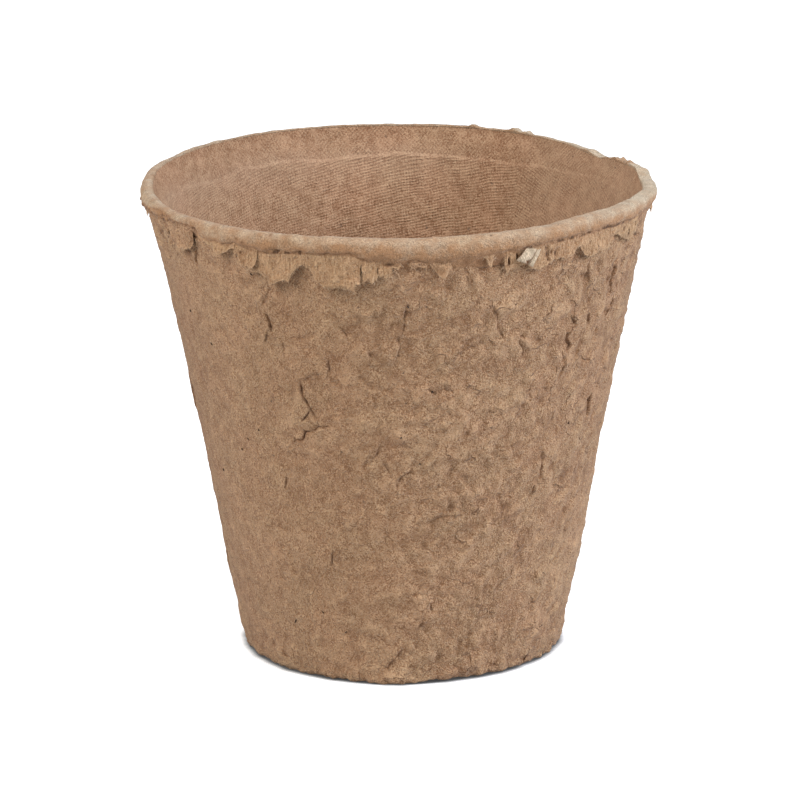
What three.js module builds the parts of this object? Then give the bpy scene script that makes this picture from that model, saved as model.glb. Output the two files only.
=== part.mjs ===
// A seedling pot of moulded paper pulp. A tapered wall stands on a floor with a rounded heel and
// carries a flared lip with a bead round its outside. The trim along the bead tears when the pot
// leaves its mould, so thin flakes of pulp hang under it all the way round.
// Millimetres, +Z up, the origin on the ground in the middle of the pot, the photographed side at -Y.
import * as THREE from "three";

// Overall sizes
const LIP_DIAMETER = 110; // over the bead
const HEIGHT = 102;
const BASE_DIAMETER = 68; // where the wall's outer face would meet the ground

// Wall and floor
const WALL_THICKNESS = 2.8; // square to the wall
const FLOOR_THICKNESS = 3;
const HEEL_RADIUS = 2.4; // outer corner between floor and wall
const FILLET_RADIUS = 3; // inner corner between floor and wall
const DRAIN_DIAMETER = 10;

// Lip
const BEAD_WIDTH = 3.4;
const BEAD_HEIGHT = 5.2;
const NECK_HEIGHT = 1; // plain stretch between the bead and the lip's seat on the wall
const LIP_OVERHANG = 2; // the bead past the wall's outer face at the seat
const BEAD_INNER_SIDE = THREE.MathUtils.degToRad(165); // where the bead runs into the flare inside

// Torn flakes and the scrap of paper among them
const FLAKE_THICKNESS = 0.7;
const CHIP_THICKNESS = 0.9;
const SEAT_CLEARANCE = 0.3; // between a flake and the wall and bead it lies against
const FLAKE_SIDE = 0.45; // length at a flake's two sides, as a share of its drop
const NOTCH_DEPTH = 0.3; // how much of the length the notches between its teeth take

// Flakes round the back, at even steps, with sizes that vary from one to the next
const BACK_FLAKES = 8;
const BACK_START = 92.5; // degrees from the front
const BACK_STEP = 25;
const BACK_SPAN = 14;
const BACK_SPAN_CHANGE = 4;
const BACK_DROP = 4.4;
const BACK_DROP_CHANGE = 1.6;
const BACK_TIP_CHANGE = 0.2;
const BACK_LIFT = 0.7;
const SPAN_PHASE = 2.3; // radians from one flake to the next, so that no two are alike
const DROP_PHASE = 1.7;
const TIP_PHASE = 1.1;
const FEWEST_TEETH = 2;
const TOOTH_COUNTS = 3; // how many different counts of teeth there are

// Facets
const FACETS = 96; // round the pot
const ARC_STEPS = 5;
const FLAKE_ROWS = 4; // from the bead down to the torn edge
const COLUMNS_PER_TOOTH = 4;

// The wall's two faces, as radii that grow with the height
const beadBottom = HEIGHT - BEAD_HEIGHT;
const seatHeight = beadBottom - NECK_HEIGHT;
const seatRadius = LIP_DIAMETER / 2 - LIP_OVERHANG;
const taper = Math.atan2(seatRadius - BASE_DIAMETER / 2, seatHeight);
const outerRadius = (z) => BASE_DIAMETER / 2 + z * Math.tan(taper);
const innerRadius = (z) => outerRadius(z) - WALL_THICKNESS / Math.cos(taper);

// The wall starts above both corners of the floor.
const footHeight = Math.max(FLOOR_THICKNESS + FILLET_RADIUS, HEEL_RADIUS);

const WALL_PULP = { color: 0x9e7d62, roughness: 0.96, metalness: 0 };
const LIP_PULP = { color: 0xc0a386, roughness: 0.94, metalness: 0 };
const FLAKE_PULP = { color: 0xaa8a6b, roughness: 0.97, metalness: 0 };
const PALE_PAPER = { color: 0xcbbda3, roughness: 0.9, metalness: 0 };

// Turns a closed outline of radius and height round the pot's axis.
function revolve(outline) {
  return new THREE.LatheGeometry(outline.getPoints(ARC_STEPS), FACETS).rotateX(Math.PI / 2);
}

// The floor, with its drain hole, its rounded heel and the start of the wall.
function floorGeometry() {
  const drain = DRAIN_DIAMETER / 2;
  const heelCentre = outerRadius(HEEL_RADIUS) - HEEL_RADIUS / Math.cos(taper);
  const filletHeight = FLOOR_THICKNESS + FILLET_RADIUS;
  const filletCentre = innerRadius(filletHeight) - FILLET_RADIUS / Math.cos(taper);
  const outline = new THREE.Path();
  outline.moveTo(drain, 0);
  outline.lineTo(heelCentre, 0);
  outline.absarc(heelCentre, HEEL_RADIUS, HEEL_RADIUS, -Math.PI / 2, -taper, false);
  outline.lineTo(outerRadius(footHeight), footHeight);
  outline.lineTo(innerRadius(footHeight), footHeight);
  outline.absarc(filletCentre, filletHeight, FILLET_RADIUS, -taper, -Math.PI / 2, true);
  outline.lineTo(drain, FLOOR_THICKNESS);
  outline.closePath();
  return revolve(outline);
}

// The tapered wall, from the foot to the lip's seat.
function wallGeometry() {
  const outline = new THREE.Path();
  outline.moveTo(innerRadius(footHeight), footHeight);
  outline.lineTo(outerRadius(footHeight), footHeight);
  outline.lineTo(seatRadius, seatHeight);
  outline.lineTo(innerRadius(seatHeight), seatHeight);
  outline.closePath();
  return revolve(outline);
}

// The lip: outside, a neck that carries on the wall's slope, and the bead; inside, a flare.
function lipGeometry() {
  const beadCentre = (LIP_DIAMETER - BEAD_WIDTH) / 2;
  const beadMiddle = HEIGHT - BEAD_HEIGHT / 2;
  const outline = new THREE.Path();
  outline.moveTo(innerRadius(seatHeight), seatHeight);
  outline.lineTo(seatRadius, seatHeight);
  outline.lineTo(outerRadius(beadBottom), beadBottom);
  outline.lineTo(beadCentre, beadBottom);
  outline.absellipse(
    beadCentre, beadMiddle, BEAD_WIDTH / 2, BEAD_HEIGHT / 2, -Math.PI / 2, BEAD_INNER_SIDE, false,
  );
  outline.closePath();
  return revolve(outline);
}

// How long a flake is at a place across it, as a share of its drop: longest at its tip, shorter
// towards its sides, and notched between its teeth.
function tornLength(across, tip, teeth) {
  const towardsTip = across < tip ? across / tip : (1 - across) / (1 - tip);
  const body = FLAKE_SIDE + (1 - FLAKE_SIDE) * Math.sin((towardsTip * Math.PI) / 2);
  const fromToothTip = Math.abs(2 * ((across * teeth) % 1) - 1);
  return body * (1 - NOTCH_DEPTH * fromToothTip);
}

// A flake is a flat strip, torn along its lower edge and wrapped round the wall, with its upper edge
// under the bead. Its place, span and lean are degrees round the pot, from the front towards +X.
// Its lower edge stands off the wall by lift, and lean pushes that edge aside.
function flakeGeometry(flake) {
  const { at, span, drop, tip = 0.5, teeth = 2, lift = 0.4, lean = 0 } = flake;
  const { thickness = FLAKE_THICKNESS } = flake;
  const strip = new THREE.BoxGeometry(1, 1, thickness, teeth * COLUMNS_PER_TOOTH, FLAKE_ROWS, 1);
  const points = strip.getAttribute("position");
  for (let i = 0; i < points.count; i += 1) {
    const across = points.getX(i) + 0.5;
    const down = 0.5 - points.getY(i);
    const length = drop * tornLength(across, tip, teeth);
    const z = beadBottom - SEAT_CLEARANCE - down * length * Math.cos(taper);
    const standOff = SEAT_CLEARANCE + lift * down ** 2 + points.getZ(i) + thickness / 2;
    const radius = outerRadius(z) + standOff / Math.cos(taper);
    const angle = THREE.MathUtils.degToRad(at + span * points.getX(i) + lean * down);
    points.setXYZ(i, radius * Math.sin(angle), -radius * Math.cos(angle), z);
  }
  strip.computeVertexNormals();
  return strip;
}

// The flakes on the photographed side, from left to right.
const frontFlakes = [
  { name: "flake_left_lump", at: -62.5, span: 17, drop: 5.7, tip: 0.7, lift: 1.1 },
  { name: "flake_left_tongue", at: -46.7, span: 9.8, drop: 3.4, tip: 0.6, lift: 0.9 },
  { name: "flake_left_scroll", at: -38, span: 6, drop: 3.8, teeth: 1, lift: 1.2 },
  { name: "flake_front_point", at: -27.8, span: 12.4, drop: 7.2, tip: 0.28, teeth: 3, lift: 0.9 },
  { name: "flake_front_wide", at: -11.6, span: 19, drop: 6.8, tip: 0.58, teeth: 5, lift: 1 },
  { name: "flake_front_step", at: 1.4, span: 5.8, drop: 3.4, tip: 0.3, lift: 0.6 },
  { name: "flake_front_tongue", at: 9, span: 5.4, drop: 2.8, teeth: 1, lift: 0.5 },
  { name: "flake_right_strings", at: 21.5, span: 7.6, drop: 3.2, tip: 0.85, teeth: 4 },
  { name: "flake_right_flap", at: 41.3, span: 10.4, drop: 4, tip: 0.4, lift: 0.7 },
  { name: "flake_right_tip", at: 53.5, span: 10, drop: 4.8, tip: 0.6, lift: 0.6 },
  { name: "flake_right_shreds", at: 67, span: 13.6, drop: 4.2, tip: 0.4, teeth: 4, lift: 0.6 },
];

const backFlakes = Array.from({ length: BACK_FLAKES }, (_, i) => ({
  name: `flake_back_${i + 1}`,
  at: BACK_START + BACK_STEP * i,
  span: BACK_SPAN + BACK_SPAN_CHANGE * Math.sin(SPAN_PHASE * i),
  drop: BACK_DROP + BACK_DROP_CHANGE * Math.cos(DROP_PHASE * i),
  tip: 0.5 + BACK_TIP_CHANGE * Math.sin(TIP_PHASE * i),
  teeth: FEWEST_TEETH + (i % TOOTH_COUNTS),
  lift: BACK_LIFT,
}));

// The scrap of unpulped paper, caught among the flakes on the right with its foot to the left.
const chip = { at: 33, span: 4, drop: 5, teeth: 1, lift: 0.3, lean: -3.4, thickness: CHIP_THICKNESS };

function part(name, geometry, finish) {
  const mesh = new THREE.Mesh(geometry, new THREE.MeshStandardMaterial(finish));
  mesh.name = name;
  return mesh;
}

const pot = new THREE.Group();
pot.add(part("pot_floor", floorGeometry(), WALL_PULP));
pot.add(part("side_wall", wallGeometry(), WALL_PULP));
pot.add(part("rim_lip", lipGeometry(), LIP_PULP));
for (const flake of [...frontFlakes, ...backFlakes]) {
  pot.add(part(flake.name, flakeGeometry(flake), FLAKE_PULP));
}
pot.add(part("paper_chip", flakeGeometry(chip), PALE_PAPER));

export default pot;
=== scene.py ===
import math

import bpy
import numpy as np
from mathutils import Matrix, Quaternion, Vector


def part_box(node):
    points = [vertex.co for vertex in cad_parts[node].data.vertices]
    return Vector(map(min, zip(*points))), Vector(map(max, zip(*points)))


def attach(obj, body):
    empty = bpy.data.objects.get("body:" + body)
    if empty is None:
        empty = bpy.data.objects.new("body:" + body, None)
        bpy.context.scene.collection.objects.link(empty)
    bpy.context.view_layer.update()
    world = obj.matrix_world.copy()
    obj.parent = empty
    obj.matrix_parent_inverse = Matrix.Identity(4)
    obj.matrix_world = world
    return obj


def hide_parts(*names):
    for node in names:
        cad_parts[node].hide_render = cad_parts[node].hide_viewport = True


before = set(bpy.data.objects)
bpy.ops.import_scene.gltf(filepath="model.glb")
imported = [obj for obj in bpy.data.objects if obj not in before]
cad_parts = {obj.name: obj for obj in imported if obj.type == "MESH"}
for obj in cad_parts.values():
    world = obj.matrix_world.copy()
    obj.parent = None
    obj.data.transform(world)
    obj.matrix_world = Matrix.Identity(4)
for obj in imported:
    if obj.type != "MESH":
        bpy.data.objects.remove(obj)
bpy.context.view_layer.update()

# The moulded wall. One skin of paper pulp, drawn onto a wire mould from a vat and dried there, so its
# outside is free pulp: lumpy, speckled with fibres, and cracked and peeled where it shrank.
MM = 0.001  # lengths are in millimetres unless a comment says otherwise
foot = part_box("pot_floor")[1] / MM
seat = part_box("side_wall")[1] / MM
SLOPE = (seat.x - foot.x) / (seat.z - foot.z)
TAPER = math.atan(SLOPE)
WALL_THICKNESS = 2.8
WALL_TOP = seat.z + 1.6  # inside the bead
HEEL_RADIUS = 1.6
RING_INNER_RADIUS = 25.5  # where the ring that the pot stands on runs into the floor
RING_OUTER_RADIUS = 29.5
RING_RISE = 1.2
RING_RELIEF = 0.4  # how much of the wall's relief the ring has
STAND_GAP = 0.2  # the most that the uneven foot stands clear of the ground
STAND_PITCH = 15
HIDDEN_DEPTH = 1.5  # how far under its face the outer skin ends
FRONT_REACH = 100  # degrees to each side of the front over which the mesh is closest
FRONT_COLUMNS = 320
BACK_COLUMNS = 100
WALL_ROWS = 124
HEEL_ROWS = 10
RING_ROWS = 4
FINER = 4  # how many times finer the mesh is along a crack and in a pit
FINE_CRACK_REACH = 0.5  # how far from a crack the finer mesh goes
FINE_PIT_SHARE = 0.3  # the share of a pit's depth at which it starts
WALL_DEEP = (0.222, 0.107, 0.0492)
WALL_LIGHT = (0.51, 0.313, 0.175)

# Lumps of several sizes: pitch and height. The finer ones follow the roughness and meet in creases.
LUMPS = ((26, 0.2), (11, 0.11), (5.5, 0.22), (2.8, 0.28), (1.6, 0.18))
FIRST_FINE_LUMP = 2
CREASED_PITCH = 2  # lumps smaller than this have no painted shade in the crease between them
CREASE_WIDTH = 0.42
CREASE_SHADE = 0.6  # painted shade in a crease, beside 1 for the deepest crack
CREASE_PATCHES = 7  # pitch of the patches with painted crease shade
# Small pits, darkened with painted shade: their pitch, the pitch of their patches, depth and shade.
SMALL_PIT_PITCH = 2.1
SMALL_PIT_PATCHES = 12
SMALL_PIT_DEPTH = 0.3
SMALL_PIT_SHADE = 0.25
# How rough the pulp dried, from place to place: degrees from the front and a share.
ROUGHNESS = (
    (-180, 1), (-100, 0.75), (-75, 0.6), (-50, 0.75), (-25, 0.85), (0, 1.05), (22, 1.6), (60, 1.95),
    (76, 1.2), (90, 0.75), (115, 1), (180, 1),
)
# Rumpled patches: degrees from the front, height, reach round and up, and how much rougher they are.
RUMPLES = (
    (30, 84.5, 4, 5, 1.2),
    (-68, 94, 8, 4, 1.6),
    (56, 89, 9, 6, 0.6),
    (43, 76, 7, 6, 0.6),
    (-2, 82, 7, 7, 0.4),
    (11, 38, 5, 4, 0.5),
    (-24, 64, 6, 5, 0.3),
    (64, 94, 6, 4, 1),
    (72, 95, 3, 2.5, 1.2),
)
FOOT_ROUGHNESS = 0.6  # how much rougher the foot is, over its lowest few millimetres
FOOT_REACH = 5
# Folds like the rings of a fingerprint: degrees from the front, height, reach round and up, pitch of the
# rings and height of each.
WRINKLES = ((-60, 96.5, 9, 5.5, 1.3, 0.15), (-73, 95, 4, 4, 1.1, 0.1))
# Broad swells and hollows: degrees from the front, height, reach round and up, and how far out.
SWELLS = (
    (-90, 64, 24, 30, -0.65),
    (-89, 95, 16, 8, 0.55),
    (88, 18, 16, 16, 0.6),
    (-88, 5, 10, 3.5, 0.3),
    (-5, 0.8, 4, 2.4, 0.9),
    (84, 2.5, 3, 1.2, 0.5),
    (22, 88, 5, 4, 0.5),
    (31, 66, 6, 5, 0.45),
    (-24, 58, 6, 4, 0.4),
    (3, 82, 5, 6, -0.4),
    (48, 74, 6, 6, -0.45),
    (14, 60, 8, 6, 0.35),
)
# Pits where a clot of pulp fell out, and hollows under the bead and the flakes, each with painted
# shade, standing for their shadow under the bead and flakes: degrees from the front, height, reach and
# depth.
PITS = (
    (33.3, 62.5, 0.8, 0.5), (39.2, 62.6, 0.8, 0.5), (47.4, 46.3, 0.8, 0.5), (34.4, 2.1, 0.7, 0.4),
    (49.9, 1.3, 0.7, 0.4), (17.6, 57.9, 0.6, 0.4), (60.7, 78.9, 0.7, 0.5), (65.6, 79.6, 0.7, 0.5),
    (53.5, 77.8, 0.6, 0.45), (58.2, 75.1, 0.6, 0.4), (65.3, 83.4, 0.7, 0.5), (51.9, 83, 0.6, 0.45),
    (59.2, 86, 0.7, 0.5), (53.3, 91.2, 0.6, 0.4), (50.7, 85.5, 0.5, 0.4), (47.4, 89.4, 0.6, 0.4),
    (70.1, 70.4, 0.6, 0.4), (36.2, 76.5, 0.7, 0.4), (18.2, 96.3, 1.3, 0.5), (22.3, 95.9, 1.3, 0.6),
    (23.2, 96.8, 0.7, 0.4), (24.9, 95.7, 0.6, 0.4), (14.9, 96.4, 0.8, 0.4), (27, 96.9, 0.7, 0.3),
    (67.6, 97.8, 0.9, 0.5), (71.2, 97.4, 1.4, 0.6), (62.8, 96, 0.8, 0.4), (1.1, 96.4, 0.5, 0.5),
    (-56.4, 93.5, 1.2, 0.45),
)
PIT_SHADE = 0.8

# Cracks and soft folds on the photographed side: width, depth, and the route in degrees from the front
# and height.
CRACKS = (
    (0.42, 0.7, ((-33.2, 83.3), (-32.6, 81.8), (-32.3, 79.8))),
    (0.4, 0.6, ((-33.6, 78.9), (-34.8, 77.2))),
    (0.5, 0.3, ((-30.2, 79.1), (-29.3, 76.1))),
    (0.6, 0.2, ((-30.7, 90), (-31.8, 88.3), (-34, 85.2))),
    (0.5, 0.3, ((-40.9, 82.2), (-39.2, 82.9), (-37.6, 82.9))),
    (0.42, 0.65, ((-25.8, 69), (-25.9, 66.8), (-24.9, 65.3), (-23.6, 62.9), (-22.4, 61))),
    (0.42, 0.7, ((-24.2, 62.6), (-25.2, 61.4), (-26.2, 60.4))),
    (0.45, 0.75, ((-29.1, 55.3), (-27.2, 55.5), (-25.7, 57.7), (-23.3, 58.1), (-21.8, 59.2), (-18.9, 59.6))),
    (0.4, 0.5, ((-17.8, 74.4), (-17.7, 71.9))),
    (0.45, 0.5, ((-14.6, 82.2), (-13.5, 81.2), (-12.4, 79.7))),
    (0.4, 0.4, ((-7.7, 76.9), (-7.3, 75.8))),
    (0.55, 0.42, ((1.9, 87.3), (1, 85.5), (1.2, 83), (0.5, 81), (-0.5, 79.7), (0, 77.9), (-1.2, 74.7))),
    (0.5, 0.3, ((-5.9, 86.4), (-6.2, 84.1))),
    (0.45, 0.6, ((7.1, 68.2), (8.2, 67.1))),
    (0.45, 0.7, ((30, 76.9), (31.3, 75.4), (31.7, 73.1))),
    (0.4, 0.5, ((30, 78.5), (31.3, 77.9))),
    (0.45, 0.6, ((35.8, 68.1), (34.4, 67.1), (34.4, 65.3), (35.3, 64.1))),
    (0.6, 0.5, ((22.1, 85.9), (23, 84.2), (24.2, 80.3), (25.5, 77.9))),
    (0.5, 0.8, ((47.4, 78.5), (45.9, 80.1))),
    (0.45, 0.7, ((46, 72.5), (47.6, 73.6), (46.2, 74.7), (45.8, 76.1), (47.3, 77.6))),
    (0.55, 0.55, ((45.6, 68.5), (46.3, 70.2))),
    (0.32, 1, ((61.5, 82.9), (61, 86.3), (61.7, 87.3), (61.6, 88.6))),
    (0.5, 0.9, ((64.8, 78.7), (64.4, 80.5))),
    (0.45, 0.8, ((61.9, 77.5), (61.7, 79.1))),
    (0.4, 0.6, ((50.9, 87.4), (49.8, 88.7), (48.9, 90.7), (48.9, 92))),
    (0.45, 0.65, ((54.1, 77.5), (53.4, 79.4))),
    (0.3, 0.95, ((61.7, 55.6), (61.8, 57.9), (61.2, 60.2))),
    (0.6, 0.5, ((52.3, 55.6), (51.1, 55.2))),
    (0.7, 0.6, ((76.9, 66.5), (78, 67.8))),
    (0.6, 0.9, ((75.5, 92.6), (72, 93.4), (68.8, 94.2))),
    (0.45, 0.4, ((-33.9, 46.5), (-34.4, 43.9))),
    (0.45, 0.6, ((2.7, 49.7), (0.8, 49), (-0.3, 48.3), (-0.9, 47.4))),
    (0.45, 0.4, ((-4.6, 51.1), (-3.5, 49.9))),
    (0.45, 0.4, ((-1.4, 46.7), (-0.9, 45.3))),
    (0.6, 0.35, ((-4.9, 56.6), (-5.8, 55), (-6.4, 53.3))),
    (0.5, 0.3, ((-9.4, 52.3), (-10.1, 50))),
    (0.45, 0.35, ((-21.4, 30.9), (-21.9, 27.1))),
    (0.65, 0.5, ((43.4, 44.7), (43.3, 47.9), (42.4, 50.7))),
    (0.45, 0.4, ((31.1, 53.3), (32.3, 51.3))),
    (0.6, 0.5, ((40.8, 41), (41, 43.2))),
    (0.45, 0.45, ((9, 19.1), (9.4, 17.2))),
    (0.45, 0.45, ((6.5, 15.1), (5.2, 12.8))),
    (0.55, 0.5, ((-0.2, 8.2), (-2.9, 5.8), (-5.4, 3.9))),
    (0.5, 0.4, ((-47.2, 3.8), (-43.8, 3.3))),
    (0.26, 0.6, ((-52.9, 95.4), (-53.5, 93.3), (-54.4, 91))),
    (1.1, 0.3, ((-21, 71.2), (-23.4, 70.2), (-25.6, 69.2), (-26.3, 68), (-26.1, 66.6))),
    (0.9, 0.25, ((-17, 69.6), (-15.2, 69.3), (-14.8, 68.3))),
    (1, 0.25, ((-7.3, 77), (-7.1, 74.9), (-8.4, 73.2))),
    (1, 0.25, ((-6.1, 68.4), (-2.9, 68.1), (-1, 68.7))),
    (1, 0.25, ((-6.5, 66.6), (-6.2, 64.3))),
    (0.9, 0.25, ((-17, 61.7), (-15, 62.1), (-12.3, 62.4))),
    (0.9, 0.2, ((-27.9, 77.6), (-21.9, 79.6), (-19.6, 80.7))),
    (1.2, 0.3, ((6.7, 90.2), (9.6, 91), (12.6, 90.3))),
    (1.4, 0.35, ((34.9, 76.9), (37.5, 75.9))),
    (1, 0.2, ((12.5, 77.2), (15.5, 77))),
    (1, 0.2, ((14.7, 77.3), (14.9, 74.8))),
    (1, 0.25, ((39.7, 65), (43.1, 65.4))),
    (1, 0.25, ((44.9, 56.7), (43.8, 59.2))),
    (0.9, 0.2, ((3.1, 61.7), (5.4, 60.5))),
    (0.9, 0.3, ((44.6, 67.1), (46.1, 68.8), (45.2, 72.1))),
    (1.1, 0.4, ((8.5, 37.5), (10.7, 38.6), (13.3, 38.8), (15.9, 38.3))),
    (1, 0.25, ((13.6, 51.3), (14.5, 49.5), (16.3, 49.1))),
    (1, 0.25, ((15.3, 46.8), (18.2, 47.2))),
    (0.9, 0.2, ((10.3, 29.4), (13, 29.9))),
    (0.7, 0.35, ((22.3, 41.6), (21.7, 39.5), (20.2, 38.5))),
)
CRACK_NARROWING = 0.46
CRACK_WANDER = 0.3
WANDER_PITCH = 1.8
WANDER_RADIUS = 45  # the wall's radius about half way up
CRACK_UNEVENNESS = 1.7  # pitch of the deeper and shallower stretches
CRACK_SPAN = (16, 4)  # how far a crack can reach: degrees from its middle, and height past its ends
# Along a crack the skin is cut, stands up on one side and sinks on the other: shares of its depth, and
# reaches in widths of the crack.
CUT_SHARE = 0.5
LEDGE_SHARE = 0.5
SINK_SHARE = 0.3
LEDGE_REACH = 6
SINK_REACH = 8
FULL_SHADE = 1.3  # the painted shade of a crack for each millimetre of depth
# More of the same kind, round the side away from the photograph, with the ranges of their sizes.
HIDDEN_CRACKS = 80
HIDDEN_ANGLES = (82, 278)
HIDDEN_HEIGHTS = (8, 90)
HIDDEN_STRETCHES = (2, 6)
HIDDEN_STEP = (2.4, 1.8)  # degrees round the pot and millimetres up it
HEADING_CHANGES = (-0.7, 0.7)  # radians
SHARP_CRACK = ((0.42, 0.6), (0.35, 0.9))  # width and depth
SOFT_FOLD = ((0.9, 1.3), (0.2, 0.4))
SOFT_SHARE = 0.35  # how many of them are soft folds
draw = np.random.default_rng(41)
LEVEL = np.array([1, 1, 0])  # leaves out the height, for what changes only round the pot


def outer_radius(height):
    return foot.x + (height - foot.z) * SLOPE


def inner_radius(height):
    return outer_radius(height) - WALL_THICKNESS / math.cos(TAPER)


def pulp_noise(points, pitch, seed):
    """Smooth noise from about -1 to 1 at each point, in lumps about pitch millimetres apart. It mixes
    the bits of each cell's place into a slope at every corner, and eases from corner to corner."""
    spot = points / pitch + seed * 17.31
    cell = np.floor(spot).astype(np.int64)
    part = spot - cell
    ease = part ** 3 * (part * (part * 6 - 15) + 10)
    total = np.zeros(len(spot))
    for corner in np.ndindex(2, 2, 2):
        at = (cell + corner).astype(np.uint32)
        mixed = at[:, 0] * np.uint32(374761393) + at[:, 1] * np.uint32(668265263)
        mixed = mixed + at[:, 2] * np.uint32(2246822519) + np.uint32(seed * 7919)
        mixed = (mixed ^ (mixed >> np.uint32(13))) * np.uint32(1274126177)
        mixed = mixed ^ (mixed >> np.uint32(16))
        share = np.ones(len(spot))
        lean = np.zeros(len(spot))
        for axis in range(3):
            bits = (mixed >> np.uint32(10 * axis)) & np.uint32(1023)
            lean += (bits / 511.5 - 1) * (part[:, axis] - corner[axis])
            share *= ease[:, axis] if corner[axis] else 1 - ease[:, axis]
        total += share * lean
    return total * 1.6


def smooth_step(value, low, high):
    share = np.clip((value - low) / (high - low), 0, 1)
    return share * share * (3 - 2 * share)


def degrees_apart(angle, place):
    return (angle - place + 180) % 360 - 180


def round_value(table, angle):
    """A value at an angle, from a table of degrees from the front and the values there."""
    return np.interp(angle, *zip(*table))


def near_route(angle, height, route):
    """Distance to a route on the wall, which side of it a place is on, and how far along it."""
    middle_angle, middle_height = np.mean(route, axis=0)
    reach = outer_radius(middle_height)
    across = np.radians(degrees_apart(angle, middle_angle)) * reach
    up = height - middle_height
    closest = np.full(len(angle), np.inf)
    side = np.zeros(len(angle))
    along = np.zeros(len(angle))
    stretches = len(route) - 1
    for number, (start, end) in enumerate(zip(route, route[1:])):
        run_across = math.radians(end[0] - start[0]) * reach
        run_up = end[1] - start[1]
        from_across = across - math.radians(start[0] - middle_angle) * reach
        from_up = up - (start[1] - middle_height)
        share = (from_across * run_across + from_up * run_up) / (run_across ** 2 + run_up ** 2)
        share = np.clip(share, 0, 1)
        distance = np.hypot(from_across - share * run_across, from_up - share * run_up)
        nearer = distance < closest
        closest = np.where(nearer, distance, closest)
        side = np.where(nearer, np.sign(from_across * run_up - from_up * run_across), side)
        along = np.where(nearer, (number + share) / stretches, along)
    return closest, side, along


def hidden_crack():
    """A crack with a random route, as wide and deep as those on the photographed side."""
    spot = np.array([draw.uniform(*HIDDEN_ANGLES), draw.uniform(*HIDDEN_HEIGHTS)])
    heading = draw.uniform(*HEADING_CHANGES)
    route = [tuple(spot)]
    for _ in range(draw.integers(*HIDDEN_STRETCHES)):
        heading += draw.uniform(*HEADING_CHANGES)
        spot = spot - np.array(HIDDEN_STEP) * (math.sin(heading), math.cos(heading))
        route.append(tuple(spot))
    widths, depths = SOFT_FOLD if draw.random() < SOFT_SHARE else SHARP_CRACK
    return draw.uniform(*widths), draw.uniform(*depths), tuple(route)


all_cracks = CRACKS + tuple(hidden_crack() for _ in range(HIDDEN_CRACKS))


def crack_distances(points, angle, height):
    """For each crack, which places lie near it, how near, on which side and how far along it."""
    span, margin = CRACK_SPAN
    wander_round = np.degrees(CRACK_WANDER / WANDER_RADIUS) * pulp_noise(points, WANDER_PITCH, 14)
    wander_up = CRACK_WANDER * pulp_noise(points, WANDER_PITCH, 15)
    for width, depth, route in all_cracks:
        angles, levels = zip(*route)
        close = (height > min(levels) - margin) & (height < max(levels) + margin)
        close &= np.abs(degrees_apart(angle, np.mean(angles))) < span
        near = np.flatnonzero(close)
        if len(near):
            place = (angle[near] + wander_round[near], height[near] + wander_up[near])
            yield width * CRACK_NARROWING, depth, near, near_route(*place, route)


def distance_round(angle, place, level):
    return np.radians(degrees_apart(angle, place)) * outer_radius(level)


def near_spot(angle, height, place, level, reach_round, reach_up):
    """1 at a spot on the wall, falling to 0 over its reach round the wall and up it."""
    round_share = distance_round(angle, place, level) / reach_round
    return np.exp(-round_share ** 2 - ((height - level) / reach_up) ** 2)


def pit_hollows(angle, height):
    """For each pit, its depth and its hollow: 1 in the middle of it, falling to 0 over its reach."""
    for place, level, reach, depth in PITS:
        yield depth, near_spot(angle, height, place, level, reach, reach)


def roughness(angle, height):
    share = round_value(ROUGHNESS, angle)
    for *spot, more in RUMPLES:
        share = share + more * near_spot(angle, height, *spot)
    return share + FOOT_ROUGHNESS * np.exp(-(height / FOOT_REACH) ** 2)


def lump_relief(points, coarse):
    """The lumps of free pulp, sharper where it dried coarse, and the painted shade in the creases between
    them.
    """
    relief = np.zeros(len(points))
    painted_crease_shade = np.zeros(len(points))
    for seed, (pitch, lump) in enumerate(LUMPS):
        wave = pulp_noise(points, pitch, seed)
        if seed >= FIRST_FINE_LUMP:
            if pitch > CREASED_PITCH:
                painted_crease_shade = np.maximum(painted_crease_shade, 1 - smooth_step(np.abs(wave), 0, CREASE_WIDTH / pitch))
            creased = 1.8 * np.abs(wave) - 0.5
            wave = 0.5 * coarse * wave + np.clip(coarse - 0.3, 0, 1.3) * creased
        relief += lump * wave
    painted_crease_shade = painted_crease_shade * smooth_step(pulp_noise(points, CREASE_PATCHES, 18), -0.1, 0.35)
    return relief, painted_crease_shade * np.clip(coarse - 0.6, 0, 1)


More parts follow.
